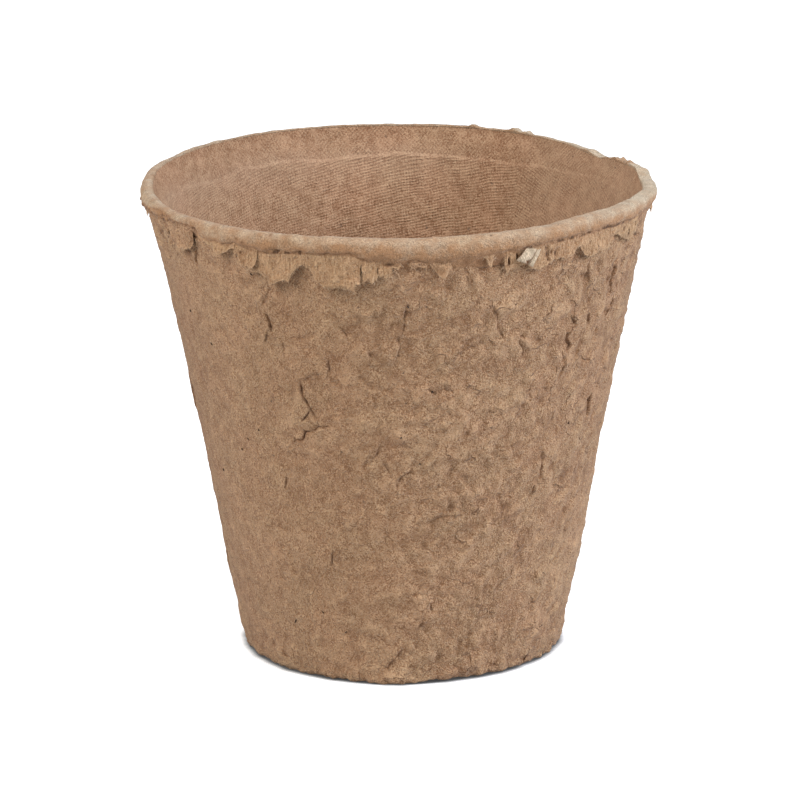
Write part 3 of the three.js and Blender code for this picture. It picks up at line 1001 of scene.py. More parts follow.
# The bead's lower edge, as degrees from the front and height.
BEAD_BOTTOMS = (
    (-180, 97.6), (-120, 98.4), (-95, 98.2), (-80, 98.3), (-73, 98.8), (-67.5, 99.2), (-61.5, 99.3),
    (-54.8, 99.9), (-50.5, 100), (-49.3, 98.3), (-45.2, 98.1), (-41.8, 97.7), (-38.2, 98.5), (-35.4, 98),
    (-32.6, 97.6), (-25.5, 98.1), (-17.3, 98.5), (-10, 98.6), (-8.2, 97.6), (0.4, 97.2), (3.4, 97.3),
    (7, 97.1), (11, 97), (13.4, 97.2), (15.8, 97.5), (20, 97.7), (24.6, 97.9), (30, 98.3), (34.6, 98.6),
    (46, 99), (55.4, 98.9), (62.4, 98.6), (66, 98.7), (70, 98.9), (75, 98.5), (85, 98.2), (110, 98.2),
    (180, 97.6),
)
# Tufts that stand up from the rim: degrees from the front, half width in degrees and height.
TUFTS = (
    (161.5, 0.8, 0.5), (150.5, 1.2, 0.8), (147.5, 0.8, 0.7), (127.3, 1.6, 0.5), (115.5, 0.8, 0.3),
    (101, 0.6, 0.3),
)
LIP_LUMPS = ((14, 0.2), (5, 0.16), (2.2, 0.1), (1.1, 0.06))
# The torn stretch of its top: the middle, and how far to either side it is fully torn and whole again.
TORN_TOP = (113, 4.2, 7)
TORN_LUMPS = ((1.6, 0.45), (0.8, 0.3))
# The trimmed lower edge, and how dark its torn line is painted with shade: degrees from the front and a
# share.
LOW_EDGE_REACH = 1.8
LOW_EDGE_LUMPS = ((2.4, 0.35), (1.1, 0.25))
TORN_LINE_PITCH = 1.5
PAINTED_TORN_LINE = (
    (-180, 0.5), (-72, 0.8), (-52, 1), (-47, 0.2), (-38, 0.4), (-34, 1), (-12, 1), (-6, 0.5), (16, 0.5),
    (19, 1), (25, 0.8), (30, 0.4), (38, 1), (78, 1), (88, 0.5), (180, 0.5),
)
# How far up the bead is torn at its left end, as degrees from the front and height.
WORN_TOPS = ((-95, 99.2), (-80, 99.7), (-73, 100.3), (-66, 101.2), (-60, 100.8), (-56, 99.5))
WORN_END = (-59, -54)  # degrees over which the bead becomes whole again
WORN_FADE = (-0.4, 0.3)  # about those heights, over which the wear ends
WORN_LUMPS = ((1.5, 0.4), (0.8, 0.4))
WORN_CRACK_PITCH = 0.9
# Nicks in the bead, darkened with painted shade: degrees from the front, height, and reach round and up.
NICKS = (
    (-29.1, 101.5, 0.35, 0.3), (-27.4, 100.5, 0.3, 0.6), (-37.5, 99.9, 0.5, 0.35),
    (-36, 99.3, 0.5, 0.35),
)
# How pale the bead is, as degrees from the front and a share: partly its own paleness, partly painted
# light, which makes it paler towards the sides.
PALENESS_AND_SIDE_LIGHT = (
    (-180, 0.6), (-100, 0.52), (-72, 0.5), (-50, 0.36), (-25, 0.42), (20, 0.36), (50, 0.52), (72, 0.95),
    (100, 1), (130, 0.8), (180, 0.6),
)
# How far down the bead is pale: degrees from the front, and how far up its face looks there.
PALE_FROM = ((-180, -0.25), (-85, -0.9), (-48, -0.9), (-36, -0.35), (180, -0.25))
PALE_EDGE_PITCH = 3.4  # of the uneven edge of what is pale
LIP_GRAIN = (0.4, 1.3, 0.8)
LIP_PALE = (0.437, 0.344, 0.241)
LIP_BROWN = (0.302, 0.161, 0.079)
LIP_OLIVE = (0.36, 0.258, 0.155)


def pressed_pulp(name):
    """The bead's sandy pulp: pale where pressed and under painted light, brown below, with a few olive
    patches.
    """
    finish, place = new_finish(name)
    pale = place.noise(CLOUD_PITCH, 3).spread(0.5, 0.68, 0, 0.5).mix(LIP_PALE, LIP_OLIVE)
    wander = place.noise(PALE_EDGE_PITCH, 4, 0.65).spread(0.3, 0.7, -0.35, 0.35)
    # Pale where it was pressed, and paler by painted light where it faces up and at its sides.
    colour = (place.mark("pressed") + wander).clamped().mix(LIP_BROWN, pale)
    share, height = pulp_grain(place, LIP_GRAIN)
    colour = colour.scaled(share.spread(0, 1, 0.7, 1.3))
    colour, _ = pulp_flecks(place, colour, strength=0.2)
    # Painted shade in the bead's cracks, nicks, torn line and neck pits.
    finish_skin(with_painted_shade(colour), height, depth=0.3, roughness=0.93)
    return finish


def bent(value):
    return np.sign(value) * np.abs(value) ** BEAD_SQUARENESS


def eased(values):
    """Values all the way round the lip, smoothed."""
    ease = np.hanning(EASED_COLUMNS)
    return np.convolve(np.pad(values, EASED_COLUMNS // 2, "wrap"), ease / ease.sum(), "valid")


lip_angle = even_angles(LIP_COLUMNS)
corner_fall = round_value(LIP_FALLS, lip_angle)
bead_bottom = eased(round_value(BEAD_BOTTOMS, lip_angle))
bead_top = eased(round_value(LIP_TOPS, lip_angle)) + np.minimum(corner_fall, 0)
corner_top = bead_top - corner_fall
lip_corner = bead_centre - round_value(LIP_REACHES, lip_angle)
level_row = np.ones(LIP_COLUMNS)
sweep = np.linspace(BEAD_START, math.pi / 2, BEAD_ROWS)[:, None]
brow = np.linspace(0, math.pi / 2, BROW_ROWS + 1)[1:, None]
neck = np.linspace(0, 1, NECK_ROWS, endpoint=False)[:, None]
bead_radii = bead_centre + BEAD_WIDTH / 2 * bent(np.cos(sweep)) * level_row
bead_heights = (bead_top + bead_bottom) / 2 + (bead_top - bead_bottom) / 2 * bent(np.sin(sweep))
neck_radius = outer_radius(NECK_LOW) - NECK_SUNK
radii = np.concatenate([
    bead_radii,
    bead_centre + (lip_corner - bead_centre) * np.sin(brow),
    [lip_corner - LIP_SKIN / 3, lip_corner + LIP_BURIED],
    np.outer([shoulder_high + LIP_BURIED, seat.x - LIP_BACK], level_row),
    neck_radius + neck ** NECK_HOLLOW * (bead_radii[0] - neck_radius),
])
heights = np.concatenate([
    bead_heights,
    bead_top - corner_fall * (1 - np.cos(brow)),
    [corner_top - LIP_SHOWN - tuck for tuck in LIP_TUCK],
    np.outer([seat.z, seat.z], level_row),
    NECK_LOW + neck * (bead_heights[0] - NECK_LOW),
])
lip_rows = len(radii)
outline = np.stack([radii, heights], axis=-1)
angle = np.tile(lip_angle, lip_rows)
points = turned(outline.reshape(-1, 2), angle)
facing = turned(outline_facing(outline).reshape(-1, 2), angle)
height = points[:, 2].copy()
row = np.repeat(np.arange(lip_rows), LIP_COLUMNS)
on_bead = row < BEAD_ROWS + BROW_ROWS
on_brow = on_bead & (row >= BEAD_ROWS)
on_neck = row >= lip_rows - NECK_ROWS
at_corner = row == BEAD_ROWS + BROW_ROWS

torn = round_share(angle, *TORN_TOP)
low_edge = np.clip(1 - (heights - bead_bottom).reshape(-1) / LOW_EDGE_REACH, 0, 1)
worn_top = round_value(WORN_TOPS, angle)
worn_low, worn_high = (worn_top + edge for edge in WORN_FADE)
worn = (1 - smooth_step(angle, *WORN_END)) * (1 - smooth_step(height, worn_low, worn_high))
relief = lumpy(points, LIP_LUMPS, 40)
relief += torn * lumpy(points, TORN_LUMPS, 46)
relief += low_edge * lumpy(points, LOW_EDGE_LUMPS, 48)
relief += worn * lumpy(points, WORN_LUMPS, 50)
# Painted shade in the cracks of the worn end, along the torn lower edge and in the nicks.
worn_crack_shade = smooth_step(pulp_noise(points, WORN_CRACK_PITCH, 52), 0.05, 0.4)
lip_painted_shade = np.maximum(0.05 * low_edge, 0.9 * worn * worn_crack_shade)
torn_line_shade = smooth_step(pulp_noise(points, TORN_LINE_PITCH, 53), -0.5, 0.05)
torn_line_shade = smooth_step(low_edge, 0.66, 0.94) * torn_line_shade
lip_painted_shade = np.maximum(lip_painted_shade, torn_line_shade * round_value(PAINTED_TORN_LINE, angle))
for nick in NICKS:
    lip_painted_shade = np.maximum(lip_painted_shade, near_spot(angle, height, *nick))
# Painted shade in the pits of the neck, under the bead.
neck_pit_shade = np.zeros(len(points))
for _, hollow in pit_hollows(angle, height):
    neck_pit_shade = np.maximum(neck_pit_shade, PIT_SHADE * hollow)
# How pale the bead is: its own pressed paleness, with painted light where it faces up and towards the sides.
pale_from = round_value(PALE_FROM, angle)
pressed = smooth_step(facing[:, 2], pale_from, pale_from + 0.85) * on_bead + 0.7 * at_corner - on_neck
pressed = pressed * round_value(PALENESS_AND_SIDE_LIGHT, angle) * (1 - 0.8 * torn) * (1 - worn)

shift = np.where(on_brow[:, None], np.array([0, 0, 1]), facing)
points = points + shift * np.where(on_bead | on_neck, relief, 0)[:, None]
for place, half_width, rise in TUFTS:
    tuft = np.exp(-(degrees_apart(angle, place) / half_width) ** 2)
    points[:, 2] += rise * tuft * (facing[:, 2] > 0.2) * on_bead
faces = loop_faces(lip_rows, LIP_COLUMNS)
make_piece(
    "pressed_lip", points, faces, pressed_pulp("lip_pulp"), "pulp_lip", "rim_lip",
    pressed=pressed, cracked=lip_painted_shade * on_bead + neck_pit_shade * on_neck,
)

# The torn flakes. The trim along the bead tore off in strips, and what is left of them hangs from the
# bead's lower edge: thin, fibrous sheets with ragged ends that curl away from the wall.
FLAKE_THICKNESS = 0.7
FLAKE_ROOT = 0.7  # how far a flake's upper edge reaches into the bead
SHORTEST_FLAKE = 0.5
CLOSEST_FLAKE = 0.2  # the least that its middle stands off the wall
FLAKE_STEP = 0.14  # from column to column of its mesh
FLAKE_ROWS = 34
RAGGED = ((1.3, 0.16), (0.55, 0.16), (0.3, 0.1))  # pitch and depth of the torn edge
SPIKE_PITCH = 1.5
SPIKE_LENGTH = 0.36
FLAKE_WAVES = ((3.1, 0.55), (1.4, 0.4))
FLAKE_GRAIN_PITCH = 0.7
FRAY_PITCH = 0.5  # round a hole
BROKEN_FOLD_PITCH = 1.3
FEATHER = 0.8  # how far in from its torn edge a flake starts to thin
EDGE_COLUMNS = 8  # how far to either side the nearest edge is looked for
EDGE_HIGHLIGHT = 0.6  # how strong the painted highlight on its thin edge is
HOLLOW_DEPTH = 0.5  # of a place where the flake is pressed in
# The painted shade where a flake is pressed in.
HOLLOW_SHADE = 1.1
FLAKE_COARSE = 0.4
FLAKE_DEEP = (0.267, 0.137, 0.063)
FLAKE_LIGHT = (0.54, 0.335, 0.186)
torn_edges = []


def cone_place(angle, height, off):
    """A point standing off the wall by a distance square to it."""
    return turned(np.stack([outer_radius(height) + off / math.cos(TAPER), height], axis=-1), angle)


def thick_sheet(angle, height, off, thickness, keep):
    """A closed sheet that stands off the wall, from a grid of places, with side faces round every edge
    of the kept squares. Gives its points, its faces, and where in the grid each point belongs."""
    outer = cone_place(angle, height, off + thickness / 2)
    inner = cone_place(angle, height, off - thickness / 2)
    count = outer[..., 0].size
    number = np.arange(count).reshape(outer.shape[:2])
    squares = np.stack([number[1:, :-1], number[1:, 1:], number[:-1, 1:], number[:-1, :-1]], axis=-1)[keep]
    edges = np.stack([squares, np.roll(squares, -1, axis=1)], axis=-1).reshape(-1, 2)
    forward = edges[:, 0] * count + edges[:, 1]
    backward = edges[:, 1] * count + edges[:, 0]
    rim = edges[~np.isin(forward, backward)]
    sides = np.stack([rim[:, 1], rim[:, 0], rim[:, 0] + count, rim[:, 1] + count], axis=1)
    faces = np.concatenate([squares, squares[:, ::-1] + count, sides])
    points = np.concatenate([outer.reshape(-1, 3), inner.reshape(-1, 3)])
    used, faces = np.unique(faces, return_inverse=True)
    return points[used], faces.reshape(-1, 4).tolist(), used % count


def edge_distance(across, down, length):
    """How far each place on a flake is from its torn edge, or from a side where that is nearer."""
    columns = np.arange(len(across))
    nearest = length - down
    for offset in range(-EDGE_COLUMNS, EDGE_COLUMNS + 1):
        beside = np.clip(columns + offset, 0, len(across) - 1)
        below = np.maximum(length[beside] - down, 0)
        nearest = np.minimum(nearest, np.hypot(offset * FLAKE_STEP, below))
    return np.minimum(nearest, np.minimum(across, across[-1] - across) + 0.05)


def torn_flake(
    flake, tear, lift, seed,
    start=0.35, bead_fold_shade=0.4, curl=0.0, ragged=1.0, shade=0.0, holes=(), hollows=(), finish=None,
):
    """A flake whose lower edge follows tear, in degrees and heights. It stands off the wall by start at
    its upper edge, and by lift more at its lower edge, on its left and on its right. Its crease shade is
    the painted shade of the fold under the bead. Holes and hollows are degrees, heights and half sizes."""
    tear_angle, tear_height = np.array(tear).T
    middle = outer_radius(tear_height.mean())
    width = math.radians(tear_angle[-1] - tear_angle[0]) * middle
    columns = int(width / FLAKE_STEP) + 2
    across = np.linspace(0, width, columns)
    degrees = tear_angle[0] + np.degrees(across / middle)
    root = np.interp(degrees, lip_angle, bead_bottom) + FLAKE_ROOT

    edge_line = np.stack(np.broadcast_arrays(across, seed * 5.3, 0.0), axis=1)
    spikes = 0.5 - 1.6 * np.abs(pulp_noise(edge_line, SPIKE_PITCH, 66))
    length = (root - np.interp(degrees, tear_angle, tear_height)) / math.cos(TAPER)
    length = length + ragged * (lumpy(edge_line, RAGGED, 60) + SPIKE_LENGTH * spikes)
    length = np.maximum(length, SHORTEST_FLAKE)
    down = np.linspace(0, 1, FLAKE_ROWS)[:, None] ** 0.85 * length
    height = root - down * math.cos(TAPER)
    share = down / np.maximum(length.max(), 1)
    to_edge = edge_distance(across, down, length)

    sheet = np.stack(np.broadcast_arrays(across, down, seed * 7.7), axis=-1).reshape(-1, 3)
    wave = lumpy(sheet, FLAKE_WAVES, 63).reshape(down.shape)
    grain = pulp_noise(sheet, FLAKE_GRAIN_PITCH, 65).reshape(down.shape)
    thickness = FLAKE_THICKNESS * (0.2 + 0.8 * smooth_step(to_edge, 0, FEATHER)) * (1 + 0.2 * grain)
    off = start + np.linspace(*lift, columns) * share ** 1.4
    off = off + curl * smooth_step(1 - to_edge / 2, 0, 1) * share
    off = off + wave * (0.15 + 0.6 * share) + 0.08 * grain

    def from_spot(at_angle, at_height, place, level, half_width, half_height):
        aside = np.radians(at_angle - place) * middle / half_width
        return aside ** 2 + ((at_height - level) / half_height) ** 2

    # Hollows are pressed in and carry painted shade; shade adds painted shade over all the flake.
    for hollow in hollows:
        dent = np.exp(-from_spot(degrees, height, *hollow))
        off = off - HOLLOW_DEPTH * dent
        shade = np.maximum(shade, HOLLOW_SHADE * dent)
    off = np.maximum(off, CLOSEST_FLAKE)
    torn_edges.append(cone_place(degrees, height[-1], off[-1]))

    keep = np.ones((FLAKE_ROWS - 1, columns - 1), bool)
    square_angle = (degrees[1:] + degrees[:-1]) / 2
    square_height = (height[1:, 1:] + height[:-1, :-1]) / 2
    frayed = pulp_noise(sheet, FRAY_PITCH, 67).reshape(down.shape)[1:, 1:]
    for hole in holes:
        keep &= from_spot(square_angle, square_height, *hole) > 1 + 0.9 * frayed
    turn = np.broadcast_to(degrees, down.shape)
    points, faces, used = thick_sheet(turn, height, off, thickness, keep)

    # Painted shade on the fold under the bead, and a painted highlight along the thin torn edge.
    broken = smooth_step(pulp_noise(sheet, BROKEN_FOLD_PITCH, 68), -0.25, 0.2).reshape(down.shape)
    fold = bead_fold_shade * (1 - smooth_step(down - 0.35 * wave, 0.75, 1.15)) * (0.6 + 0.4 * broken)
    highlit_edge = 1 - smooth_step(to_edge, 0.05, 0.6)
    make_piece(
        f"torn_{flake}", points, faces, finish or flake_finish, "torn_pulp", f"flake_{flake}",
        standing=(0.6 * wave + 0.3 * grain + EDGE_HIGHLIGHT * highlit_edge).reshape(-1)[used],
        cracked=np.maximum(fold, shade).reshape(-1)[used],
        coarse=np.full(len(used), FLAKE_COARSE),
    )


flake_finish = rough_pulp("flake_pulp", FLAKE_DEEP, FLAKE_LIGHT, grainy=0.6, streaked=0.4)
# Those on the photographed side, from left to right: the lift at the left and at the right, the torn edge
# in degrees from the front and heights, and what else sets the flake apart.
FRONT_FLAKES = (
    ("left_lump", (0.5, 0.5), (
        (-69, 98), (-66, 97.4), (-63.5, 96.4), (-61.5, 95), (-59.4, 94), (-57, 94.1), (-55.2, 94.5),
        (-53.2, 94.9), (-52.6, 95.8), (-52.3, 97.6),
    ), dict(bead_fold_shade=0.55, curl=0.4, holes=((-62.6, 96.9, 0.75, 0.6),), finish=wall_finish)),
    ("left_tongue", (0.5, 1), (
        (-50, 98), (-47.7, 97.4), (-45.9, 96.9), (-44.8, 96.2), (-43.5, 95.4), (-41.8, 96.1),
        (-40.1, 97.2), (-38.6, 97.6), (-37.4, 98),
    ), dict(start=0.5, curl=0.5)),
    ("left_scroll", (0.7, 1.5), (
        (-39, 96.6), (-38.4, 95.4), (-37.6, 94.6), (-36, 94.2), (-34.2, 93.9), (-33.3, 94.3),
        (-32.8, 95.3), (-32.5, 97),
    ), dict(
        start=0.5, bead_fold_shade=0.7, curl=0.5, hollows=((-38.1, 95.9, 0.4, 0.6), (-36.7, 96.8, 0.8, 0.35)),
    )),
    ("front_point", (0.6, 1.1), (
        (-37.5, 95), (-36, 93.4), (-32.3, 92.8), (-30.6, 92.2), (-30, 90.5), (-29.2, 90.9),
        (-27.5, 91.7), (-25.8, 92.4), (-25.2, 91.9), (-24.6, 92.8), (-24.2, 93.7), (-23.1, 94.9),
        (-22.3, 95.6), (-21.2, 96),
    ), dict(bead_fold_shade=1, curl=0.6, ragged=0.6)),
    ("front_wide", (0.4, 1.3), (
        (-23.6, 96.6), (-22.4, 96), (-21.2, 95.6), (-20.6, 95), (-19.4, 94), (-18.8, 92.8),
        (-17.3, 91.5), (-15.5, 91.2), (-13.2, 91.3), (-11.6, 91.1), (-10, 90.4), (-9.5, 92.2),
        (-8.5, 92.5), (-8.3, 94.8), (-8.1, 92.7), (-6.7, 93.2), (-5.9, 92.5), (-5.1, 93.4), (-4.6, 94.4),
        (-4.2, 94), (-1.8, 94.1), (-1.5, 95.8), (-0.3, 95.4), (0.4, 96.4),
    ), dict(
        bead_fold_shade=0.8, curl=0.5, holes=((-8.4, 95.6, 0.12, 1.3), (-4.7, 95.2, 0.12, 0.8)),
        hollows=((-2.2, 96.6, 1.6, 0.5),),
    )),
    ("front_step", (0.2, 0.3), (
        (1.9, 96.8), (2.5, 96.1), (3, 95.7), (4.1, 96.1), (5.4, 95.9), (6.3, 96.3), (6.8, 96.9),
    ), dict(bead_fold_shade=0.8, ragged=0.6, finish=wall_finish)),
    # The front tongue carries painted shade for the bead's shadow over it.
    ("front_tongue", (0.4, 1), (
        (6.4, 96.9), (6.9, 96), (7.5, 95.3), (8.6, 94.2), (9.8, 93.3), (10.5, 94.1), (11.1, 95),
        (11.5, 96.8),
    ), dict(bead_fold_shade=0.9, ragged=0.5, shade=0.2)),
    ("right_strings", (0.5, 0.6), (
        (15.8, 97.9), (17.4, 97.6), (18.6, 97.3), (19.2, 97), (19.7, 96.1), (20.2, 95.1), (20.6, 95.2),
        (21, 96.3), (21.7, 97.1), (22.5, 97.3), (23.4, 97.2), (23.6, 96.4), (23.75, 94.6), (24.4, 93.2),
        (24.8, 94.2), (26.4, 94.1), (27.5, 94.6), (28.6, 94.8),
    ), dict(
        start=0.4, ragged=0.35,
        holes=((24.65, 95.9, 0.28, 0.8), (21.2, 97.2, 0.16, 0.2), (26.5, 97, 0.3, 1)),
    )),
    ("right_flap", (0.5, 0.8), (
        (29.5, 94.4), (30.6, 93.7), (32.6, 93.3), (33.8, 93.8), (35.1, 94.4), (36.6, 95), (39.5, 94.6),
        (41.9, 94.9), (42.9, 95.8), (44, 96.8), (45.4, 97.2),
    ), dict(
        bead_fold_shade=1,
        hollows=(
            (34, 97.6, 0.4, 0.7), (34.3, 96.3, 0.45, 0.9), (35.4, 96.7, 0.22, 0.6), (36.7, 96.2, 0.5, 0.95),
            (34.7, 95, 0.3, 0.35),
        ),
    )),
    ("right_tip", (0.7, 1), (
        (43.2, 97.2), (44.4, 96), (45.8, 94.3), (48, 93.5), (49.8, 94.6), (52, 94.4), (54.3, 94.8),
        (55.4, 96), (57, 96.8),
    ), dict(bead_fold_shade=1)),
    ("right_shreds", (0.4, 0.5), (
        (54.6, 97.6), (56.4, 97), (58.4, 96.3), (60.2, 95.5), (62.4, 94.6), (64.4, 93.7), (65.6, 94.3),
        (66.8, 95.2), (67.6, 96.2), (68.4, 97.2),
    ), dict(
        bead_fold_shade=1, ragged=0.6, holes=((62.8, 96, 0.5, 0.8), (66.2, 97.1, 0.5, 0.6)),
        hollows=((60.2, 97.1, 0.4, 0.5),),
    )),
)
for seed, (flake, lift, tear, habit) in enumerate(FRONT_FLAKES, 1):
    torn_flake(flake, tear, lift, seed, **habit)

# The flakes round the side that faces away: of the same kind, and at the places of their solids. The
# first and the last show at the edges of the photograph, where the trim left little.
BACK_FLAKES = 8
BACK_TEAR_POINTS = 9
BACK_WIDTH = 0.98  # beside the width of its solid
TEAR_TOP = seat.z + 0.6
STUB_SHARE = 0.35  # how much of its length a flake has where little is left, and how much of its lift
STUB_LIFT = 0.1
BACK_START = 0.3
BACK_DROPS = (0.65, 1.05)  # ranges: shares of the length, lifts and curls
BACK_LIFTS = (0.3, 1)
BACK_CURLS = (0, 0.2)
FIRST_BACK_SEED = 21
for number in range(BACK_FLAKES):
    flake = f"back_{number + 1}"
    low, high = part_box(f"flake_{flake}")
    middle = (low + high) / 2
    place = math.degrees(math.atan2(middle.x, -middle.y))
    half_span = BACK_WIDTH * math.degrees(math.hypot(high.x - low.x, high.y - low.y) / MM / 2 / seat.x)
    stub = number in (0, BACK_FLAKES - 1)
    steps = np.linspace(-1, 1, BACK_TEAR_POINTS)
    drop = (seat.z - low.z / MM) * (1 - 0.5 * steps ** 2) * draw.uniform(*BACK_DROPS, BACK_TEAR_POINTS)
    drop = drop * (STUB_SHARE if stub else 1)
    torn_flake(
        flake,
        np.stack([place + half_span * steps, TEAR_TOP - drop], axis=1),
        draw.uniform(*BACK_LIFTS, 2) * (STUB_LIFT if stub else 1),
        FIRST_BACK_SEED + number,
        start=BACK_START,
        curl=draw.uniform(*BACK_CURLS),
    )

# The paper chip. A scrap of waste paper that was never pulped, greyish white, in two leaves that have
# started to part. It is caught among the flakes on the right and stands out of the pulp.
CHIP_CORNERS = ((28.3, 98.6), (31.8, 98), (25.8, 96.3), (29.8, 94.4))  # upper pair, then lower pair
CHIP_SIZE = 4  # about as much each way
CHIP_THICKNESS = 0.55
CHIP_OFF = (1.5, 2.1)  # from the wall at its upper and lower edge
CHIP_STEPS = 60
CHIP_RAGGED = ((0.8, 0.22), (0.35, 0.1))
CHIP_WAVE = (1.4, 0.18)  # pitch and height
CHIP_INSIDE = 3.6  # its width without the ragged edge
LEAF_EDGE = 0.72  # how far across it the leaves part
LEAF_STEP = 0.3
LEAF_GROOVE = 0.15
NOTCH = (0.6, 0.85, 0.1, 0.12)  # a notch, dark with painted shade: how far across and down it, and its two half sizes
NOTCH_DEPTH = 0.4
CHIP_CLOUD_PITCH = 1.6
CHIP_NAP_PITCH = 0.4
CHIP_WHITE = (0.7, 0.535, 0.37)
CHIP_GREY = (0.5, 0.38, 0.25)
CHIP_FIBRE_TURN = (0.2, -0.45, 0.5)
CHIP_FIBRE_SIZE = (0.14, 2.4)


def waste_paper(name):
    """Soft unsized paper: greyish white, with long fibres and a brown stain from the pulp at its edges."""
    finish, place = new_finish(name)
    colour = place.noise(CHIP_CLOUD_PITCH, 3, 0.6).spread(0.35, 0.65).mix(CHIP_GREY, CHIP_WHITE)
    fibres = place.fibres(CHIP_FIBRE_TURN, CHIP_FIBRE_SIZE, 0.5)
    colour = colour.scaled(fibres.spread(0, 1, 0.72, 1.1))
    # A real brown stain at the edges, and painted shade in the groove and the notch.
    colour = place.mark("cracked").mix(colour, SHADE_AND_STAIN_BROWN)
    finish_skin(colour, fibres + place.noise(CHIP_NAP_PITCH), depth=0.12, roughness=0.88)
    return finish


side = np.linspace(0, 1, CHIP_STEPS)
fall = side[:, None]
upper_left, upper_right, lower_left, lower_right = np.array(CHIP_CORNERS)
chip_angle, chip_height = (
    (1 - fall) * ((1 - side) * upper_left[way] + side * upper_right[way])
    + fall * ((1 - side) * lower_left[way] + side * lower_right[way])
    for way in (0, 1)
)
sheet = np.stack(np.broadcast_arrays(CHIP_SIZE * side, CHIP_SIZE * fall, 3.3), axis=-1).reshape(-1, 3)
to_rim = np.minimum(np.minimum(side, 1 - side), np.minimum(fall, 1 - fall)) * CHIP_INSIDE
ragged = lumpy(sheet, CHIP_RAGGED, 70).reshape(CHIP_STEPS, -1) * (to_rim < 0.6)
split = np.abs(side - LEAF_EDGE + 0.1 * (fall - 0.5) + 0.02 * np.sin(9 * fall))
groove = np.exp(-(split / 0.035) ** 2) * smooth_step(fall, 0.1, 0.3)
notch = np.exp(-((side - NOTCH[0]) / NOTCH[2]) ** 2 - ((fall - NOTCH[1]) / NOTCH[3]) ** 2)
chip_off = CHIP_OFF[0] + (CHIP_OFF[1] - CHIP_OFF[0]) * fall + LEAF_STEP * smooth_step(side, 0.7, 0.75)
chip_off = chip_off + CHIP_WAVE[1] * pulp_noise(sheet, CHIP_WAVE[0], 72).reshape(CHIP_STEPS, -1)
chip_off = chip_off - LEAF_GROOVE * groove - NOTCH_DEPTH * notch
chip_thickness = CHIP_THICKNESS * (0.4 + 0.6 * smooth_step(to_rim, 0, 0.5)) - 0.12 * groove
# A brown stain from the pulp at the edges, with painted shade in the groove and the notch.
edge_stain_and_shade = np.clip(0.4 * groove + notch + 0.4 * (1 - smooth_step(to_rim, 0, 0.3)), 0, 1)
all_squares = np.ones((CHIP_STEPS - 1, CHIP_STEPS - 1), bool)
points, faces, used = thick_sheet(
    chip_angle + ragged, chip_height + ragged, chip_off, chip_thickness, all_squares
)
make_piece(
    "torn_paper_chip", points, faces, waste_paper("chip_paper"), "paper_scrap", "paper_chip",
    cracked=edge_stain_and_shade.reshape(-1)[used],
)

# Stray fibres. Single fibres of wood pulp that the tear pulled out of the flakes and the bead. Each is
# still held at one end: a fringe along the torn edges, and a few longer ones on the wall below.
FIBRE_RADIUS = 0.045
FIBRE_SIDES = 4
FIBRE_STEPS = 5
LOOSE_FIBRES = 150
LOOSE_FALLS = (0.3, 3.4)  # ranges: how far below the bead they start, how far off the wall, and lengths
LOOSE_OFFS = (0.4, 1.6)
LOOSE_LENGTHS = (0.8, 2.6)
FRINGE = 4  # fibres to each millimetre of torn edge
FRINGE_LENGTHS = (0.3, 1)
FRINGE_RISE = np.array([0, 0, 0.2])  # how far up inside the edge they start
HANG = np.array([0, 0, -0.7])
LEAN_ASIDE = (-1, 1)  # ranges: how far each leans and then bends, round the pot and outward
LEAN_OUT = (-0.1, 0.35)
BEND_ASIDE = (-0.5, 0.5)
BEND_OUT = (-0.1, 0.3)
fibre_starts = []
for _ in range(LOOSE_FIBRES):
    place = draw.uniform(-180, 180)
    level = np.interp(place, lip_angle, bead_bottom) - draw.uniform(*LOOSE_FALLS)
    start = cone_place(place, level, draw.uniform(*LOOSE_OFFS))
    fibre_starts.append((start, draw.uniform(*LOOSE_LENGTHS)))
for edge in torn_edges:
    for spot in draw.integers(len(edge), size=int(len(edge) * FLAKE_STEP * FRINGE)):
        fibre_starts.append((edge[spot] + FRINGE_RISE, draw.uniform(*FRINGE_LENGTHS)))


def add_strand(points, faces, centres, radii, outward, sideways):
    """Adds to a mesh a thin closed strand through its centres."""
    first = len(points)
    for centre, radius in zip(centres, radii):
        for corner in range(FIBRE_SIDES):
            turn = 2 * math.pi * corner / FIBRE_SIDES
            points.append(centre + radius * (math.cos(turn) * outward + math.sin(turn) * sideways))
    for step in range(len(centres) - 1):
        for corner in range(FIBRE_SIDES):
            a = first + step * FIBRE_SIDES + corner
            b = first + step * FIBRE_SIDES + (corner + 1) % FIBRE_SIDES
            faces.append((a, b, b + FIBRE_SIDES, a + FIBRE_SIDES))
    last = first + (len(centres) - 1) * FIBRE_SIDES
    faces.append(tuple(first + corner for corner in reversed(range(FIBRE_SIDES))))
    faces.append(tuple(last + corner for corner in range(FIBRE_SIDES)))


def wall_directions(place):
    """Straight out from the pot's axis at a place, and round the pot from there."""
    outward = np.array([place[0], place[1], 0]) / math.hypot(place[0], place[1])
    return outward, np.array([-outward[1], outward[0], 0])


def two_toned(name, colours, pitch, tones, grain_pitch, roughness):
    """Plain matt fibre or bark that changes between two colours."""
    finish, place = new_finish(name)
    colour = place.noise(pitch).spread(*tones).mix(*colours)
    finish_skin(colour, place.noise(grain_pitch), depth=0.03, roughness=roughness)
    return finish


